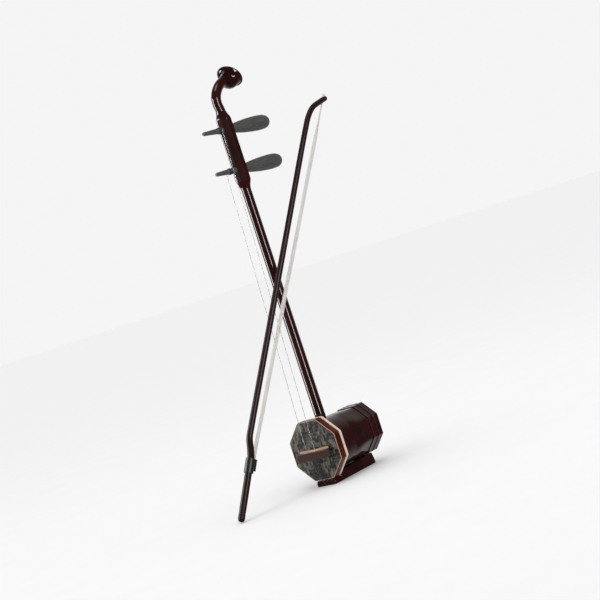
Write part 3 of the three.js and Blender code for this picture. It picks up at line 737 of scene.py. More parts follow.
def drawn_metal(name, tint, size, rough, bump):
    """A metal drawn or turned to size: fine lines of that size in millimetres along the work, brighter where
    the tool pressed."""
    material, tree, place = new_material(name)
    lines = streaks(tree, place, size, detail=3.0)
    darker = tuple(0.7 * part for part in tint)
    shade = add_node(tree, "ShaderNodeValToRGB", {"Fac": lines}, stops=[(0.3, darker), (0.65, tint)])
    spread = add_node(tree, "ShaderNodeMapRange", {"Value": lines, "To Min": rough, "To Max": rough + 0.14})
    shader = {"Base Color": shade.outputs["Color"], "Metallic": 1.0, "Roughness": spread.outputs["Result"]}
    return close_material(material, tree, shader, lines, bump, 0.05 * MM)


def bleached_hair(name, tint):
    """Bleached horsehair: a row of smooth straight hairs, white with a faint straw tone from hair to hair."""
    material, tree, place = new_material(name)
    tone = streaks(tree, place, (0.5, 0.5, 60), detail=2.0)
    darker = tuple(0.86 * part for part in tint)
    shade = add_node(tree, "ShaderNodeValToRGB", {"Fac": tone}, stops=[(0.35, darker), (0.6, tint)])
    shader = {
        "Base Color": shade.outputs["Color"], "Roughness": 0.38, "Specular IOR Level": 0.4,
    }
    return close_material(material, tree, shader, tone, 0.1, 0.05 * MM)


def studio_paper(name, tint):
    """Seamless studio paper: matt, with a grain far too fine to show, drawn as a faint cloud 80 mm wide."""
    material, tree, place = new_material(name)
    cloud = streaks(tree, place, (80, 80, 80), detail=2.0)
    darker = tuple(0.985 * part for part in tint)
    shade = add_node(tree, "ShaderNodeValToRGB", {"Fac": cloud}, stops=[(0.3, darker), (0.7, tint)])
    shader = {"Base Color": shade.outputs["Color"], "Roughness": 1.0, "Specular IOR Level": 0.0}
    return close_material(material, tree, shader)


def finish(name):
    """The material of that name, made the first time it is asked for."""
    made = bpy.data.materials.get(name)
    return made or FINISHES[name](bpy.context.scene.erhu_colours, name)


BODY_GRAIN = (1.6, 70, 1.6)
NECK_GRAIN = (1.4, 1.4, 80)
BOW_TURN = (-math.atan2(BOW_AXES[2][1], BOW_AXES[2][2]), math.asin(BOW_AXES[2][0]), 0.0)
FINISHES = {
    "rosewood_lacquered_body": lambda c, n: lacquered(n, c.rosewood_dark, c.rosewood_light, BODY_GRAIN),
    "rosewood_lacquered_neck": lambda c, n: lacquered(n, c.rosewood_dark, c.rosewood_light, NECK_GRAIN),
    "rosewood_lacquered_band": lambda c, n: lacquered(n, c.band_dark, c.band_light, (14, 3, 3), coat=0.6),
    "bamboo_stained": lambda c, n: stained_bamboo(n, c.bamboo_dark, c.bamboo, BOW_TURN),
    "ebony_oiled": lambda c, n: oiled_ebony(n, c.peg),
    "celluloid_cream": lambda c, n: celluloid(n, c.binding),
    "python_skin_stretched": lambda c, n: python_skin(n, c.skin_dark, c.skin_pale),
    "rawhide_trimmed": lambda c, n: rawhide(n, c.skin_edge),
    "felt_pressed": lambda c, n: pressed_felt(n, c.felt),
    "maple_sanded": lambda c, n: bare_maple(n, c.maple),
    "abs_moulded_black": lambda c, n: moulded_black(n, c.black),
    "steel_drawn": lambda c, n: drawn_metal(n, c.steel, (0.5, 0.5, 30), 0.22, 0.1),
    "brass_turned": lambda c, n: drawn_metal(n, c.brass, (30, 30, 0.4), 0.24, 0.2),
    "horsehair_bleached": lambda c, n: bleached_hair(n, c.hair),
    "paper_seamless": lambda c, n: studio_paper(n, c.paper),
}


def dress(piece, body, material, slot, *nodes):
    """Gives a piece its material and the body it moves with, and hides the nodes that it stands for; slot is
    not used.
    """
    piece.data.materials.clear()
    piece.data.materials.append(finish(material))
    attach(piece, body)
    if nodes:
        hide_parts(*nodes)
    return piece


def dress_node(node, material):
    """Gives a CAD node that stays in view its material."""
    slots = frame["nodes"][node].data.materials
    slots.clear()
    slots.append(finish(material))


# ---------------------------------------------------------------- resonator
def waist_middle(sizes):
    """The y of the waist."""
    return SKIN_FACE + sizes.waist_place * (REAR_END - SKIN_FACE)


def tube_outline(sizes):
    """The stave's closed profile of [axis to flat, y]: straight under the front rings, a long hollow curve to
    the rear ring, a seat under it, and the bore."""
    waist_y = waist_middle(sizes)
    hollow = smooth_path([
        [sizes.front_half, BINDING_REAR + 0.3 * MM],
        [sizes.front_half - 1.0 * MM, BINDING_REAR + 10 * MM],
        [sizes.waist_half, waist_y],
        [sizes.rear_half + 0.4 * MM, RING_FRONT - 14 * MM],
        [sizes.rear_half, RING_FRONT - 0.4 * MM],
    ], 40)
    outer = [[sizes.front_half, BAND_FRONT], *hollow, [sizes.ring_seat, RING_FRONT - 0.4 * MM]]
    end = REAR_END - 0.3 * MM
    rear = [[sizes.ring_seat, end], [sizes.ring_seat - sizes.wall + 1 * MM, end]]
    inner = [
        [sizes.rear_half - sizes.wall, RING_FRONT],
        [sizes.waist_half - sizes.wall, waist_y],
        [sizes.front_half - sizes.wall, BAND_FRONT + 8 * MM],
        [sizes.front_half - sizes.wall + 2 * MM, BAND_FRONT],
    ]
    return np.array([*outer, *rear, *inner])


def make_staves(sizes, neck_radius):
    """Eight staves: the profile carried across each side of the octagon. The corners are nearly round from
    the front to the waist and crisp at the rear. The neck's hole is drilled through the top stave and the
    bottom one."""
    profile = tube_outline(sizes)
    waist_y = waist_middle(sizes)
    crisp = 8 + 22 * smoothstep(profile[:, 1:2], waist_y, RING_FRONT)
    angle = sizes.glue_line / 2 / sizes.waist_half
    hole = turned([[neck_radius, 0], [neck_radius, 2.5 * BODY_Z]], np.array([0, NECK_Y, 0]), sides=48)
    for i in range(8):
        turn = i * np.pi / 4 + sector(21, angle)
        piece = surface(f"stave_{i + 1}_wood", octagonal(profile, crisp, turn), wrap=(True, False))
        if i in (0, 4):
            carve(piece, hole)
        node = nearest_stave(piece)
        dress(piece, "erhu", "rosewood_lacquered_body", "rosewood", node)


def nearest_stave(piece):
    """The stave node whose box has the same middle as the piece's."""
    spot = np.array([corner for corner in piece.bound_box]).mean(axis=0)
    names = [f"stave_{i + 1}" for i in range(8)]
    return min(names, key=lambda name: np.linalg.norm(sum(corners(name)) / 2 - spot))


def make_front_rings(sizes):
    """The wooden band and the cream binding: closed profiles with rounded edges, carried round."""
    inner = sizes.front_half + 0.4 * MM
    outer = HALF_HEIGHT
    front, rear = BAND[0][1], BAND[1][1]
    bead = 1.6 * MM
    band = rounded([
        [inner, front], [outer - 0.9 * MM, front], [outer, front + bead], [outer, rear - bead],
        [outer - 0.5 * MM, rear], [inner, rear],
    ], sizes.edge_round)
    piece = ring_piece("front_band_wood", band)
    dress(piece, "erhu", "rosewood_lacquered_band", "band_wood", "front_band")
    half = (BINDING[1][2] - BINDING[0][2]) / 2
    strip = rounded([
        [inner, BINDING[0][1]], [half, BINDING[0][1]], [half, BINDING[1][1]], [inner, BINDING[1][1]],
    ], sizes.edge_round * 1.4)
    piece = ring_piece("cream_strip", strip)
    dress(piece, "erhu", "celluloid_cream", "cream", "cream_binding")


def make_skin(sizes):
    """The skin is a thin octagonal plate, its face rising 0.2 mm towards the rim in a cosine, and its trimmed
    edge is a thin ring round it."""
    half = (SKIN[1][2] - SKIN[0][2]) / 2
    rim = half - sizes.skin_edge
    share = np.linspace(0, 1, 30)
    share[0] = 1e-4
    face = np.stack([share * rim, SKIN_FACE + 0.1 * MM * (1 + np.cos(np.pi * share))], axis=1)
    back = np.array([[rim, SKIN[1][1] - 0.05 * MM], [1e-4 * rim, SKIN[1][1] - 0.05 * MM]])
    piece = surface("snakeskin_face", octagonal(np.vstack([face, back]), 90, all_round()))
    dress(piece, "erhu", "python_skin_stretched", "snakeskin", "snakeskin")
    edge = rounded([
        [rim + 0.02 * MM, SKIN_FACE + 0.12 * MM], [half - 0.2 * MM, SKIN_FACE + 0.15 * MM],
        [half, SKIN[1][1]], [rim + 0.02 * MM, SKIN[1][1]],
    ], 0.25 * MM)
    piece = ring_piece("snakeskin_edge", edge)
    dress(piece, "erhu", "rawhide_trimmed", "snakeskin")


def make_rear_ring(sizes):
    """The rear ring: two flat bands with a raised thread along each edge and a round groove between them."""
    inner = sizes.ring_seat + 0.3 * MM
    outer = (REAR[1][2] - REAR[0][2]) / 2
    middle = (RING_FRONT + REAR_END) / 2
    thread = 1.5 * MM
    dip = 0.45 * MM
    half = sizes.groove_width / 2
    profile = rounded([
        [inner, RING_FRONT], [outer - 0.3 * MM, RING_FRONT], [outer, RING_FRONT + thread / 2],
        [outer - dip, RING_FRONT + thread], [outer - dip, middle - half - thread],
        [outer, middle - half - thread / 2],
        [outer - sizes.groove_depth, middle - half / 2], [outer - sizes.groove_depth, middle + half / 2],
        [outer, middle + half + thread / 2], [outer - dip, middle + half + thread],
        [outer - dip, REAR_END - thread], [outer, REAR_END - thread / 2],
        [outer - 0.6 * MM, REAR_END], [inner, REAR_END],
    ], 0.45 * MM)
    piece = ring_piece("rear_ring_wood", profile, 130)
    dress(piece, "erhu", "rosewood_lacquered_body", "rosewood", "rear_ring")


# Each oval's reach from the middle, half width and half height, as shares of the panel's half height.
PETAL = (0.62, 0.225, 0.305)
ROSETTE = (0.0, 0.205, 0.205)


def make_window():
    """The carved panel, with a round bead along each petal and round the rosette: an oval path with a half
    round section carried along it."""
    panel = soften(node_copy("sound_window_panel", "sound_window"), 0.4 * MM)
    dress(panel, "erhu", "rosewood_lacquered_body", "rosewood", "sound_window")
    half = (WINDOW[1][2] - WINDOW[0][2]) / 2
    turn = np.linspace(0, 2 * np.pi, 48, endpoint=False)
    beads = []
    for i in range(9):
        reach, wide, tall = PETAL if i < 8 else ROSETTE
        x = half * wide * np.sin(turn)
        z = half * (reach + tall * np.cos(turn))
        angle = i * np.pi / 4
        path = np.stack([
            SQUASH * (x * np.cos(angle) + z * np.sin(angle)),
            np.full(48, WINDOW[1][1] + 0.25 * MM),
            BODY_Z + z * np.cos(angle) - x * np.sin(angle),
        ], axis=1)
        out = unit(path - path.mean(axis=0))
        round_turn = np.linspace(0, 2 * np.pi, 8, endpoint=False)
        section = np.cos(round_turn)[None, :, None] * out[:, None] * 0.9 * MM
        section = section + np.sin(round_turn)[None, :, None] * np.array([0, 0.7 * MM, 0])
        beads.append(path[:, None] + section)
    piece = surface("sound_window_beads", *beads, wrap=(True, True))
    dress(piece, "erhu", "rosewood_lacquered_body", "rosewood")


def make_base():
    """The base block with softened edges, and the brass tail pin turned with a domed head."""
    block = soften(node_copy("base_block", "base"), 0.7 * MM)
    dress(block, "erhu", "rosewood_lacquered_body", "rosewood", "base")
    low, high = corners("tail_pin")
    centre = (low + high) / 2
    head = (high[0] - low[0]) / 2
    shank = head - 0.9 * MM
    profile = rounded([
        [0, low[2]], [head * 0.7, low[2] + 0.1 * MM], [head, low[2] + 0.6 * MM], [shank, low[2] + 1.2 * MM],
        [shank, high[2]], [0, high[2]],
    ], 0.3 * MM, closed=False)
    piece = surface("tail_pin_turned", turned(profile, np.array([centre[0], centre[1], 0])))
    dress(piece, "erhu", "brass_turned", "brass", "tail_pin")


# ---------------------------------------------------------------- neck and head
def neck_line(sizes):
    """The neck's [radius, height] from the tenon to the head's joint."""
    shoulder = sizes.shoulder
    floor = BODY_Z - HALF_HEIGHT
    return [
        [sizes.tenon_radius, NECK[0][2]], [sizes.tenon_radius, floor + 6.5 * MM],
        [sizes.low_radius, floor + 12.8 * MM], [sizes.low_radius, BODY_Z + HALF_HEIGHT],
        [sizes.high_radius, sizes.peg_bottom - shoulder], [sizes.peg_half * 0.93, sizes.peg_bottom],
        [sizes.peg_half, sizes.peg_bottom + 3 * MM], [sizes.peg_half, sizes.peg_top - 4 * MM],
        [sizes.peg_half * 0.94, sizes.peg_top], [sizes.head_radius + 1.4 * MM, sizes.peg_top + shoulder / 2],
        [sizes.head_radius, sizes.peg_top + shoulder],
    ]


def make_neck(sizes, pegs):
    """The neck is turned, and its peg section is planed to eight flats: the radius is the circle's, moved
    towards the octagon's where it is thick. Two tapered holes take the pegs, and one the head's tenon."""
    line = denser(rounded(neck_line(sizes), 5 * MM, closed=False), 4 * MM)
    sides = 96
    turn = np.linspace(0, 2 * np.pi, sides, endpoint=False)
    planed = smoothstep(line[:, :1], sizes.high_radius + 1.2 * MM, sizes.peg_half)
    shape = 1 + (octagon(turn, np.full(sides, 110.0)) - 1) * planed
    piece = surface("neck_wood", turned(line, np.array([0, NECK_Y, 0]), sides=sides, shape=shape))
    holes = [turned(peg_hole(sizes, pegs), np.array([0, 0, height]), Y_AXES, 48) for height in peg_heights()]
    joint_top = sizes.peg_top + sizes.shoulder
    socket = turned(
        [[4.3 * MM, joint_top - 14.2 * MM], [4.3 * MM, joint_top + MM]], np.array([0, NECK_Y, 0]), sides=32,
    )
    carve(piece, *holes, socket)
    dress(piece, "erhu", "rosewood_lacquered_neck", "rosewood", "neck")


def peg_heights():
    """Heights of the two pegs' axes."""
    return [joint(name)["pos_m"][2] for name in ("lower_peg_turn", "upper_peg_turn")]


def peg_hole(sizes, pegs):
    """The tapered hole's [radius, y]."""
    reach = sizes.peg_half + 4 * MM
    slope = pegs.taper / (2 * sizes.peg_half)
    radii = [pegs.shaft_radius + pegs.hole_air + slope * (side * reach + sizes.peg_half) for side in (-1, 1)]
    return [[radii[0], NECK_Y - reach], [radii[1], NECK_Y + reach]]


LIP_DEPTH = 12 * MM


def make_head(sizes):
    """The head bends to the rear and opens into a trumpet: round sections carried along a curve, whose radius
    swells by a power over the last part of it, then a lip and a shallow dish."""
    facing = np.array([0, math.sin(sizes.flare_lean), math.cos(sizes.flare_lean)])
    rise = math.sin(sizes.flare_lean)
    top = HEAD[1][2] - 1.0 * MM
    rim = np.array([0, NECK_Y + sizes.flare_reach, top - sizes.flare_radius * rise])
    low = sizes.peg_top + sizes.shoulder + 0.3 * MM
    spine = [
        [0, NECK_Y, low + 3 * MM], [0, NECK_Y - 2.4 * MM, low + 13 * MM], [0, NECK_Y - 1 * MM, low + 24 * MM],
        [0, NECK_Y + 8 * MM, low + 37 * MM], [0, NECK_Y + 24 * MM, low + 48 * MM], rim - 9 * MM * facing, rim,
    ]
    path = smooth_path(spine, 120)
    t = np.linspace(0, 1, 120)
    flare = np.clip((t - sizes.flare_start) / (1 - sizes.flare_start), 0, 1) ** sizes.flare_curve
    opening = sizes.flare_radius - sizes.head_radius - 0.5 * MM
    radii = sizes.head_radius - 0.3 * MM + t * 0.8 * MM + opening * flare
    lip = np.array([[0.06, 1.0], [0.13, 0.985], [0.19, 0.955], [0.23, 0.90], [0.235, 0.80], [0.22, 0.6],
                    [0.20, 0.35], [0.19, 0.12], [0.188, 0.004]])
    path = np.vstack([[0, NECK_Y, low], path, rim + lip[:, :1] * LIP_DEPTH * facing])
    radii = np.concatenate([[sizes.head_radius], radii, sizes.flare_radius * lip[:, 1]])
    grid = carried(path, radii, np.array([1.0, 0, 0]), 72)
    grid[-9:] = lip_rings(rim, facing, sizes.flare_radius, lip)
    piece = surface("head_wood", grid)
    dress(piece, "erhu", "rosewood_lacquered_neck", "rosewood", "head")
    foot = low - 12.8 * MM
    profile = rounded([[0, foot], [4 * MM, foot], [4 * MM, low], [0, low]], 0.6 * MM, closed=False)
    piece = surface("head_tenon", turned(profile, np.array([0, NECK_Y, 0]), sides=32))
    dress(piece, "erhu", "rosewood_lacquered_neck", "rosewood")


def lip_rings(rim, facing, radius, lip):
    """Flat rings square to the trumpet's axis: lip holds [share of LIP_DEPTH, share of the radius]."""
    side = np.array([1.0, 0, 0])
    third = np.cross(facing, side)
    turn = np.linspace(0, 2 * np.pi, 72, endpoint=False)[None, :, None]
    centres = (rim + lip[:, :1] * LIP_DEPTH * facing)[:, None]
    reach = (radius * lip[:, 1])[:, None, None]
    return centres + reach * (np.cos(turn) * side + np.sin(turn) * third)


# ---------------------------------------------------------------- pegs and strings
def peg_radius(pegs, reach, peg_half):
    """Radius of a peg's shaft that far in front of the neck's axis."""
    share = np.minimum(1, (pegs.front - reach) / (pegs.front - peg_half))
    return pegs.tip_radius + (pegs.shaft_radius - pegs.tip_radius) * share


def make_pegs(pegs, neck):
    """Each peg is a tapered shaft and a swelling handle, turned in one. The handle's flutes cut its radius by
    a power of a sine of the angle, fading out at both ends."""
    handle = neck.peg_half + 1.2 * MM
    span = pegs.rear - handle
    swell = smooth_path([
        [0.52, 0.0], [0.60, 0.05], [0.80, 0.25], [0.945, 0.5], [1.0, 0.74], [0.95, 0.88], [0.80, 0.955],
        [0.5, 0.99], [0.16, 1.0],
    ], 70)
    shaft = rounded([
        [0, -pegs.front], [pegs.tip_radius * 0.75, -pegs.front], [pegs.tip_radius, -pegs.front + 1.6 * MM],
        [pegs.shaft_radius, -neck.peg_half], [pegs.shaft_radius + pegs.taper, neck.peg_half],
        [pegs.shaft_radius + pegs.taper, handle - 0.3 * MM],
    ], 0.8 * MM, closed=False)
    shaft = denser(shaft, 3 * MM)
    grip = np.stack([swell[:, 0] * pegs.handle_radius, handle + swell[:, 1] * span], axis=1)
    profile = np.vstack([shaft, grip, [0, pegs.rear]])
    sides = 24 * 8
    turn = np.linspace(0, 2 * np.pi, sides, endpoint=False)
    share = (profile[:, 1:2] - handle) / span
    fade = smoothstep(share, 0.03, 0.2) * (1 - smoothstep(share, 0.9, 0.985))
    valley = np.abs(np.sin(turn * pegs.flutes / 2)) ** 0.8
    shape = 1 - (1 - valley) * fade * pegs.flute_depth / pegs.handle_radius
    bodies = (("lower_peg", "lower_tuner"), ("upper_peg", "upper_tuner"))
    for (node, body), height in zip(bodies, peg_heights()):
        grid = turned(profile, np.array([0, NECK_Y, height]), Y_AXES, sides, shape)
        dress(surface(f"{node}_wood", grid), body, "ebony_oiled", "ebony", node)


def coil_place(node):
    """How far in front of the neck's axis a winding's middle lies, and half its length."""
    low, high = corners(node)
    return NECK_Y - (low[1] + high[1]) / 2, (high[1] - low[1]) / 2


def make_windings(strings, pegs, neck):
    """The strings' turns on the pegs: a helix that climbs one string's width a turn, with a round section."""
    rows = (("outer_winding", "lower_tuner"), ("inner_winding", "upper_tuner"))
    for (node, body), height in zip(rows, peg_heights()):
        reach, half = coil_place(node)
        half = half - strings.radius
        count = int(strings.coil_turns * 40)
        turn = np.linspace(0, strings.coil_turns * 2 * np.pi, count)
        y = -reach + np.linspace(-half, half, count)
        radius = peg_radius(pegs, -y, neck.peg_half) + 0.05 * MM + strings.radius
        path = np.stack([radius * np.cos(turn), NECK_Y + y, height + radius * np.sin(turn)], axis=1)
        grid = carried(path, np.full(count, strings.radius), np.array([0, 1.0, 0]), 8)
        dress(surface(f"{node}_coil", grid), body, "steel_drawn", "steel", node)


def string_path(strings, pegs, neck, side, node, winding, height):
    """A string's line: peg, bridge, under the felt, round the base's edge, and half round the tail pin."""
    reach, half = coil_place(winding)
    low, _ = corners(node)
    top_x = side * (peg_radius(pegs, reach - half, neck.peg_half) + 2.05 * MM)
    over = SKIN_FACE - strings.over_skin
    front = BASE[0][1] - 0.3 * MM - strings.radius
    under = low[2] + 0.45 * MM
    pin = corners("tail_pin")
    shank = (pin[1][0] - pin[0][0]) / 2 - 0.9 * MM
    pin_x = side * (shank + 0.3 * MM + strings.radius)
    pin_y = BASE[0][1] + strings.pin_reach
    tail_x = side * strings.tail_spread / 2
    bridge_x = side * strings.spread / 2
    corner_points = [
        [top_x, NECK_Y - reach, height], [bridge_x, over, strings.bridge_lift],
        [bridge_x, over, strings.bridge_lift - strings.bridge_thick - strings.damper_drop],
        [tail_x, front, under + 1.4 * MM], [tail_x, front + 0.9 * MM, under],
        [tail_x, BASE[0][1] + 7 * MM, under],
        [pin_x, pin_y, under], [pin_x * 0.72, pin_y + shank * 0.9, under],
    ]
    return denser(rounded(corner_points, 2 * MM, closed=False), 12 * MM)


def make_strings(strings, pegs, neck):
    """The two strings: a round section carried along each line."""
    rows = ((-1, "outer_string", "outer_winding"), (1, "inner_string", "inner_winding"))
    for (side, node, winding), height in zip(rows, peg_heights()):
        path = string_path(strings, pegs, neck, side, node, winding, height)
        grid = carried(path, np.full(len(path), strings.radius), np.array([1.0, 0, 0]), 12)
        dress(surface(f"{node}_wire", grid), "erhu", "steel_drawn", "steel", node)


def make_bridge():
    """The bridge with its two feet and arch, its edges eased."""
    bridge = soften(node_copy("bridge_wood", "bridge"), 0.35 * MM)
    dress(bridge, "erhu", "maple_sanded", "maple", "bridge")


def make_felt(strings):
    """The felt damper: a strip folded round the strings, drawn as its U-shaped edge carried down, slightly
    thicker in the middle of its height."""
    low, high = corners("felt_damper")
    half = (high[0] - low[0]) / 2
    line = SKIN_FACE - strings.over_skin
    slot = strings.radius + 0.3 * MM
    outline = rounded([
        [-half, low[1]], [half, low[1]], [half, high[1]], [-half, high[1]], [-half, line + slot],
        [half - 3 * MM, line + slot], [half - 3 * MM, line - slot], [-half, line - slot],
    ], 0.7 * MM)
    heights = np.array([0, 0.04, 0.1, 0.3, 0.5, 0.7, 0.9, 0.96, 1.0])
    ease = np.array([0.5, 0.15, 0, 0, 0, 0, 0, 0.15, 0.5]) * MM
    middle = np.array([0, (low[1] + high[1]) / 2])
    toward = np.sign(outline - middle) * (np.abs(outline - middle) > np.array([half - 1 * MM, 0]))
    points = outline[None] - ease[:, None, None] * toward[None]
    z = np.broadcast_to((low[2] + heights * (high[2] - low[2]))[:, None, None], (*points.shape[:2], 1))
    piece = surface("felt_damper_pad", np.concatenate([points, z], axis=2))
    dress(piece, "erhu", "felt_pressed", "felt", "felt_damper")


# ---------------------------------------------------------------- bow
def grip_line(bow, u):
    """The grip's straight centre line, in the bow's frame."""
    return [0, bow.grip_lean * u / bow.grip_length, u]


def make_stick(bow):
    """The stick: straight in the hand, a quick bend away from the hair, a long slow curve, and the tip's
    hook. It is bored for the screw, slotted for the nut's stem, and drilled at the tip for the hair."""
    grip, offset, tip = bow.grip_length, bow.stick_offset, bow.stick_offset_tip
    spine = [
        grip_line(bow, grip), [0, bow.grip_lean + 5.6 * MM, grip + 12 * MM],
        [0, offset - 1.2 * MM, grip + 28 * MM],
        [0, offset, grip + 50 * MM], [0, offset + 0.3 * (tip - offset), bow.span * 0.4],
        [0, offset + 0.7 * (tip - offset), bow.span * 0.68], [0, tip, bow.span - 80 * MM],
        [0, tip - 1.5 * MM, bow.span - 54 * MM], [0, tip - 9 * MM, bow.span - 34 * MM],
        [0, bow.hair_high + 9 * MM, bow.span - 14 * MM], [0, bow.hair_high - 5 * MM, bow.span - 1 * MM],
    ]
    low = bow.cap_length + 0.3 * MM
    straight = np.array([grip_line(bow, u) for u in np.linspace(low, grip, 12)[:-1]])
    path = np.vstack([straight, smooth_path(spine, 260)])
    thin = smoothstep(path[:, 2], grip - 2 * MM, grip + 40 * MM)
    slim = (bow.tip_radius - bow.stick_radius) * path[:, 2] / bow.span
    radii = bow.grip_radius + (bow.stick_radius + slim - bow.grip_radius) * thin
    outward = unit(path[-1] - path[-2])
    angle = np.linspace(0, np.pi / 2, 10)[1:]
    path = np.vstack([path, path[-1] + np.sin(angle)[:, None] * 0.8 * bow.tip_radius * outward])
    radii = np.concatenate([radii, bow.tip_radius * np.maximum(np.cos(angle), 0.02)])
    radii[0] = radii[0] - 0.3 * MM
    piece = surface("bow_stick_wood", in_bow(carried(path, radii, np.array([1.0, 0, 0]), 40)))
    bore = turned([[bow.bore_radius, -2 * MM], [bow.bore_radius, grip - 2 * MM]], np.zeros(3), sides=32)
    low_slot, high_slot = bow.frog_place - 1 * MM, bow.frog_place + 14 * MM
    slot = slab((-1.6 * MM, -9 * MM, low_slot), (1.6 * MM, 0, high_slot))
    drill = [[2.2 * MM, bow.span - 25 * MM], [2.2 * MM, bow.span + 20 * MM]]
    hole = turned(drill, np.array([0, bow.hair_high, 0]))
    carve(piece, in_grip(bore), in_grip(slot), in_bow(hole))
    dress(piece, "bow", "bamboo_stained", "bow_wood", "bow_stick")


def slab(low, high):
    """A closed box as a grid of two square rings."""
    (x0, y0, z0), (x1, y1, z1) = low, high
    ring = np.array([[x0, y0], [x1, y0], [x1, y1], [x0, y1]])
    return np.stack([np.column_stack([ring, np.full(4, z)]) for z in (z0, z1)])


def hair_foot(bow):
    """Where the hair leaves the frog, along the bow."""
    return bow.frog_place + bow.frog_length - 9 * MM


def make_hair(bow):
    """The hair: a ribbon of strands spread over its width at the frog, which gathers to a round tuft in the
    tip's hole. Each strand is a thin round section along a line with a slow random wave."""
    random = np.random.default_rng(7)
    foot, top = hair_foot(bow), bow.span + 2 * MM
    u = np.linspace(foot, top, 90)
    line = bow.hair_low + (bow.hair_high - bow.hair_low) * (u - foot) / (bow.span - foot)
    gather = smoothstep(u, bow.span - 90 * MM, bow.span - 20 * MM)
    strands = []
    for i in range(bow.hairs):
        flat_x = bow.hair_width * 0.5 * (2 * (i + 0.5) / bow.hairs - 1)
        flat_y = bow.hair_thick * 0.32 * random.uniform(-1, 1)
        turn, reach = random.uniform(0, 2 * np.pi), bow.knot_radius * 0.85 * random.uniform(0, 1) ** 0.5
        sway = np.sin(np.pi * (u - foot) / (top - foot))
        wave = 0.22 * MM * np.sin(u * random.uniform(18, 40) + turn) * sway
        x = flat_x * (1 - gather) + reach * math.cos(turn) * gather + wave
        y = line + flat_y * (1 - gather) + reach * math.sin(turn) * gather + 0.5 * wave
        path = np.stack([x, y, u], axis=1)
        strands.append(in_bow(carried(path, np.full(90, 0.13 * MM), np.array([1.0, 0, 0]), 5)))
    piece = surface("bow_hair_strands", *strands)
    piece.data.materials.append(finish("horsehair_bleached"))
    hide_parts("bow_hair")
    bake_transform(piece)


def make_knot(bow):
    """The knot over the tip: an egg with eight turns of thread, the radius rising and falling with the turns,
    and a tuft of cut ends, each a thin curved strand."""
    low, high = bow.span + 2.4 * MM, bow.span + 6.9 * MM
    t = np.linspace(0, 1, 60)
    egg = np.sin(np.pi * np.clip(t, 0.004, 0.996)) ** 0.5
    threads = 1 + 0.07 * np.sin(t * 8 * 2 * np.pi)
    profile = np.stack([2.9 * MM * egg * threads, low + t * (high - low)], axis=1)
    knot = turned(profile, np.array([0, bow.hair_high, 0]), sides=32)
    piece = surface("hair_knot_bound", in_bow(knot))
    dress(piece, "bow", "horsehair_bleached", "horsehair", "hair_knot")
    random = np.random.default_rng(11)
    bend = np.linspace(0, 1, 10)
    strands = []
    for turn in np.linspace(0, 2 * np.pi, 22, endpoint=False):
        reach = (0.5 + random.uniform(1.9, 2.4) * np.sin(0.5 * np.pi * bend)) * MM
        drop = random.uniform(3, 9) * bend ** 2 * MM
        x, y = reach * math.cos(turn), bow.hair_high + reach * math.sin(turn)
        path = np.stack([x, y, high - 0.6 * MM - drop], axis=1)
        strands.append(in_bow(carried(path, np.full(10, 0.12 * MM), np.array([0.3, 0.2, 1.0]), 5)))
    dress(surface("hair_knot_ends", *strands), "bow", "horsehair_bleached", "horsehair")


def make_frog():
    """The black sleeve that slides on the grip, its edges eased, and the brass nut inside."""
    frog = soften(node_copy("frog_sleeve", "frog"), 0.5 * MM)
    dress(frog, "bow_frog", "abs_moulded_black", "black_plastic", "frog")
    dress_node("frog_nut", "brass_turned")


def make_screw(bow):
    """The handle's turning end, a turned button with a ring groove, and the steel screw with its thread: the
    radius falls and rises once in 0.8 mm along a helix."""
    radius = bow.grip_radius
    cap = bow.cap_length
    air = 1.6 * MM
    outline = [
        [0, -radius + 0.7 * MM], [radius * 0.45, -radius + 1 * MM], [radius * 0.74, -radius + 2.3 * MM],
        [radius * 0.93, -radius + 4.2 * MM], [radius, 0], [radius, cap * 0.62],
        [radius - 0.5 * MM, cap * 0.68],
        [radius, cap * 0.74], [radius, cap - 0.5 * MM], [radius - 0.5 * MM, cap], [air, cap], [air, 1.7 * MM],
        [0, 1.7 * MM],
    ]
    profile = rounded(outline, 0.9 * MM, closed=False)
    piece = surface("end_cap_turned", in_grip(turned(profile, np.zeros(3))))
    dress(piece, "bow_screw", "bamboo_stained", "bow_wood", "end_cap")
    low, high = 2 * MM, bow.grip_length - 6.1 * MM
    pitch = 0.8 * MM
    z = np.linspace(low, high, int((high - low) / pitch * 6))
    turn = np.linspace(0, 2 * np.pi, 16, endpoint=False)
    wave = np.cos(turn[None, :] - 2 * np.pi * z[:, None] / pitch)
    ends = smoothstep(z, low, low + 3 * MM)[:, None]
    shape = 1 - 0.11 * (1 - wave) * ends
    profile = np.stack([np.full(len(z), 1.28 * MM), z], axis=1)
    piece = surface("tension_screw_threaded", in_grip(turned(profile, np.zeros(3), sides=16, shape=shape)))
    dress(piece, "bow_screw", "steel_drawn", "steel", "tension_screw")


# ---------------------------------------------------------------- studio
def make_stage(studio):
    """A round floor of seamless paper that runs out to the horizon, where it is as pale as the sky."""
    radius, thick = studio.floor_radius, 20 * MM
    profile = [[0.001, 0], [radius / 4, 0], [radius, 0], [radius, -thick], [0.001, -thick]]
    floor = surface("studio_floor", turned(profile, np.zeros(3), sides=128))
    floor.data.materials.append(finish("paper_seamless"))
    floor.visible_glossy = False


def look_rotation(place, aim, roll):
    """The camera's or a light's rotation: its -Z towards aim, and X turned from the level by roll."""
    forward = unit(aim - place)
    right = unit(np.cross(forward, [0, 0, 1.0]))
    up = np.cross(right, forward)
    x = math.cos(roll) * right + math.sin(roll) * up
    y = np.cross(-forward, x)
    matrix = np.eye(4)
    matrix[:3, :3] = np.stack([x, y, -forward], axis=1)
    matrix[:3, 3] = place
    return Matrix(matrix.tolist())


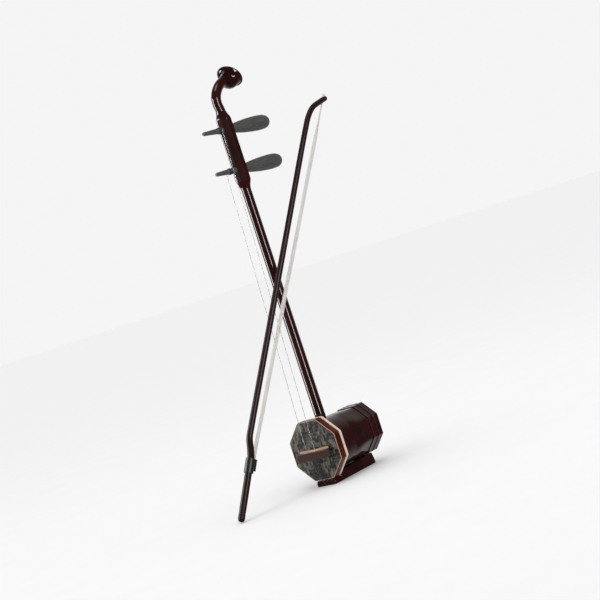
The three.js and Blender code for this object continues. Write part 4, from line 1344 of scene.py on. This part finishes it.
def make_camera(studio):
    """The camera at the viewing angle, aimed at the middle of the picture."""
    aim = np.array(studio.aim)
    a, e = studio.azimuth, studio.elevation
    back = np.array([math.sin(a) * math.cos(e), -math.cos(a) * math.cos(e), math.sin(e)])
    camera = bpy.data.objects.new("camera", bpy.data.cameras.new("camera"))
    camera.data.lens = studio.lens
    camera.data.sensor_width = 36
    camera.data.clip_end = 100
    camera.matrix_world = look_rotation(aim + studio.distance * back, aim, studio.roll)
    bpy.context.scene.collection.objects.link(camera)
    bpy.context.scene.camera = camera


LIGHTS = (
    ("softbox_left", (-1.7, -1.3, 0.8), (0.7, 1.9), 70, False),
    ("softbox_right", (2.2, -0.93, 0.8), (0.45, 1.9), 45, False),
    ("softbox_top", (0.2, -0.3, 2.7), (0.8, 0.8), 7, True),
)


def make_lights(studio):
    """Tall soft boxes that only draw streaks on polished wood, one overhead that also casts a soft shadow,
    and an even white light. In reflections the backdrop is bright and the room behind the camera is dark."""
    aim = np.array([0, 0, 0.35])
    for name, place, (wide, tall), watts, casts in LIGHTS:
        data = bpy.data.lights.new(name, "AREA")
        data.shape = "RECTANGLE"
        data.size, data.size_y = wide, tall
        data.energy = watts
        light = bpy.data.objects.new(name, data)
        light.matrix_world = look_rotation(np.array(place), aim, 0)
        light.visible_diffuse = casts
        bpy.context.scene.collection.objects.link(light)
    world = bpy.data.worlds.new("studio")
    world.use_nodes = True
    tree = world.node_tree
    ray = add_node(tree, "ShaderNodeLightPath").outputs
    seen = {"Value": ray["Is Camera Ray"], "To Min": studio.sky, "To Max": studio.seen_sky}
    seen = add_node(tree, "ShaderNodeMapRange", seen).outputs["Result"]
    towards = add_node(tree, "ShaderNodeTexCoord").outputs["Generated"]
    away = (-math.sin(studio.azimuth), math.cos(studio.azimuth), 0)
    share = add_node(tree, "ShaderNodeVectorMath", {0: towards, 1: away}, operation="DOT_PRODUCT")
    mirrored = {
        "Value": share.outputs["Value"], "From Min": 0.35, "From Max": 0.95,
        "To Min": studio.mirrored_room, "To Max": studio.mirrored_backdrop,
    }
    mirrored = add_node(tree, "ShaderNodeMapRange", mirrored).outputs["Result"]
    strength = {"Value": ray["Is Glossy Ray"], "To Min": seen, "To Max": mirrored}
    background = tree.nodes["Background"].inputs
    background["Color"].default_value = (1, 1, 1, 1)
    tree.links.new(add_node(tree, "ShaderNodeMapRange", strength).outputs["Result"], background["Strength"])
    bpy.context.scene.world = world
    bpy.context.scene.view_settings.view_transform = "Standard"


# ---------------------------------------------------------------- operators
class ErhuStep:
    """What every step's operator shares: it belongs to an undo step of its own."""

    bl_options = {"REGISTER", "UNDO"}


class ERHU_OT_stage(ErhuStep, bpy.types.Operator):
    """Make the floor, the camera and the lights"""

    bl_idname = "erhu.stage"
    bl_label = "Studio"

    def execute(self, context):
        studio = context.scene.erhu_studio
        make_stage(studio)
        make_camera(studio)
        make_lights(studio)
        return {"FINISHED"}


class ERHU_OT_staves(ErhuStep, bpy.types.Operator):
    """Make the eight lacquered staves of the resonator"""

    bl_idname = "erhu.staves"
    bl_label = "Staves"

    def execute(self, context):
        make_staves(context.scene.erhu_body, context.scene.erhu_neck.low_radius + 0.15 * MM)
        return {"FINISHED"}


class ERHU_OT_front_rings(ErhuStep, bpy.types.Operator):
    """Make the wooden front band and the cream binding"""

    bl_idname = "erhu.front_rings"
    bl_label = "Front band and binding"

    def execute(self, context):
        make_front_rings(context.scene.erhu_body)
        return {"FINISHED"}


class ERHU_OT_skin(ErhuStep, bpy.types.Operator):
    """Make the snakeskin and its trimmed edge"""

    bl_idname = "erhu.skin"
    bl_label = "Snakeskin"

    def execute(self, context):
        make_skin(context.scene.erhu_body)
        return {"FINISHED"}


class ERHU_OT_rear_ring(ErhuStep, bpy.types.Operator):
    """Make the grooved ring at the rear"""

    bl_idname = "erhu.rear_ring"
    bl_label = "Rear ring"

    def execute(self, context):
        make_rear_ring(context.scene.erhu_body)
        return {"FINISHED"}


class ERHU_OT_window(ErhuStep, bpy.types.Operator):
    """Make the carved sound window"""

    bl_idname = "erhu.window"
    bl_label = "Sound window"

    def execute(self, context):
        make_window()
        return {"FINISHED"}


class ERHU_OT_base(ErhuStep, bpy.types.Operator):
    """Make the base block and its tail pin"""

    bl_idname = "erhu.base"
    bl_label = "Base"

    def execute(self, context):
        make_base()
        return {"FINISHED"}


class ERHU_OT_neck(ErhuStep, bpy.types.Operator):
    """Make the neck with its peg section"""

    bl_idname = "erhu.neck"
    bl_label = "Neck"

    def execute(self, context):
        make_neck(context.scene.erhu_neck, context.scene.erhu_pegs)
        return {"FINISHED"}


class ERHU_OT_head(ErhuStep, bpy.types.Operator):
    """Make the bent head with its trumpet end"""

    bl_idname = "erhu.head"
    bl_label = "Head"

    def execute(self, context):
        make_head(context.scene.erhu_neck)
        return {"FINISHED"}


class ERHU_OT_pegs(ErhuStep, bpy.types.Operator):
    """Make the two fluted tuning pegs"""

    bl_idname = "erhu.pegs"
    bl_label = "Pegs"

    def execute(self, context):
        make_pegs(context.scene.erhu_pegs, context.scene.erhu_neck)
        return {"FINISHED"}


class ERHU_OT_windings(ErhuStep, bpy.types.Operator):
    """Make the strings' turns on the pegs"""

    bl_idname = "erhu.windings"
    bl_label = "Windings"

    def execute(self, context):
        scene = context.scene
        make_windings(scene.erhu_strings, scene.erhu_pegs, scene.erhu_neck)
        return {"FINISHED"}


class ERHU_OT_strings(ErhuStep, bpy.types.Operator):
    """Make the two strings"""

    bl_idname = "erhu.strings"
    bl_label = "Strings"

    def execute(self, context):
        scene = context.scene
        make_strings(scene.erhu_strings, scene.erhu_pegs, scene.erhu_neck)
        return {"FINISHED"}


class ERHU_OT_bridge(ErhuStep, bpy.types.Operator):
    """Make the maple bridge"""

    bl_idname = "erhu.bridge"
    bl_label = "Bridge"

    def execute(self, context):
        make_bridge()
        return {"FINISHED"}


class ERHU_OT_felt(ErhuStep, bpy.types.Operator):
    """Make the felt damper under the bridge"""

    bl_idname = "erhu.felt"
    bl_label = "Felt damper"

    def execute(self, context):
        make_felt(context.scene.erhu_strings)
        return {"FINISHED"}


class ERHU_OT_stick(ErhuStep, bpy.types.Operator):
    """Make the bow's bent stick"""

    bl_idname = "erhu.stick"
    bl_label = "Bow stick"

    def execute(self, context):
        make_stick(context.scene.erhu_bow)
        return {"FINISHED"}


class ERHU_OT_hair(ErhuStep, bpy.types.Operator):
    """Make the bow's hair and its knot"""

    bl_idname = "erhu.hair"
    bl_label = "Bow hair"

    def execute(self, context):
        make_hair(context.scene.erhu_bow)
        make_knot(context.scene.erhu_bow)
        return {"FINISHED"}


class ERHU_OT_frog(ErhuStep, bpy.types.Operator):
    """Make the black frog and its nut"""

    bl_idname = "erhu.frog"
    bl_label = "Frog"

    def execute(self, context):
        make_frog()
        return {"FINISHED"}


class ERHU_OT_screw(ErhuStep, bpy.types.Operator):
    """Make the turning end of the handle and the tension screw"""

    bl_idname = "erhu.screw"
    bl_label = "End cap and screw"

    def execute(self, context):
        make_screw(context.scene.erhu_bow)
        return {"FINISHED"}


STEPS = (
    ERHU_OT_stage,
    ERHU_OT_staves,
    ERHU_OT_front_rings,
    ERHU_OT_skin,
    ERHU_OT_rear_ring,
    ERHU_OT_window,
    ERHU_OT_base,
    ERHU_OT_neck,
    ERHU_OT_head,
    ERHU_OT_pegs,
    ERHU_OT_windings,
    ERHU_OT_strings,
    ERHU_OT_bridge,
    ERHU_OT_felt,
    ERHU_OT_stick,
    ERHU_OT_hair,
    ERHU_OT_frog,
    ERHU_OT_screw,
)


class ERHU_PT_panel(bpy.types.Panel):
    """The steps and their settings in the sidebar"""

    bl_idname = "ERHU_PT_panel"
    bl_label = "Erhu"
    bl_space_type = "VIEW_3D"
    bl_region_type = "UI"
    bl_category = "Erhu"

    def draw(self, context):
        for group, settings in GROUPS.items():
            box = self.layout.box()
            for name in settings.__annotations__:
                box.prop(getattr(context.scene, group), name)
        for step in STEPS:
            self.layout.operator(step.bl_idname)


def register():
    """Registers the settings, the steps and the panel."""
    for group, settings in GROUPS.items():
        bpy.utils.register_class(settings)
        setattr(bpy.types.Scene, group, bpy.props.PointerProperty(type=settings))
    for made in (*STEPS, ERHU_PT_panel):
        bpy.utils.register_class(made)


def unregister():
    """Takes them out again."""
    for made in (ERHU_PT_panel, *reversed(STEPS)):
        bpy.utils.unregister_class(made)
    for group, settings in GROUPS.items():
        delattr(bpy.types.Scene, group)
        bpy.utils.unregister_class(settings)


def main():
    """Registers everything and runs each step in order."""
    register()
    for step in STEPS:
        getattr(bpy.ops.erhu, step.bl_idname.split(".")[1])()


if __name__ == "__main__":
    main()
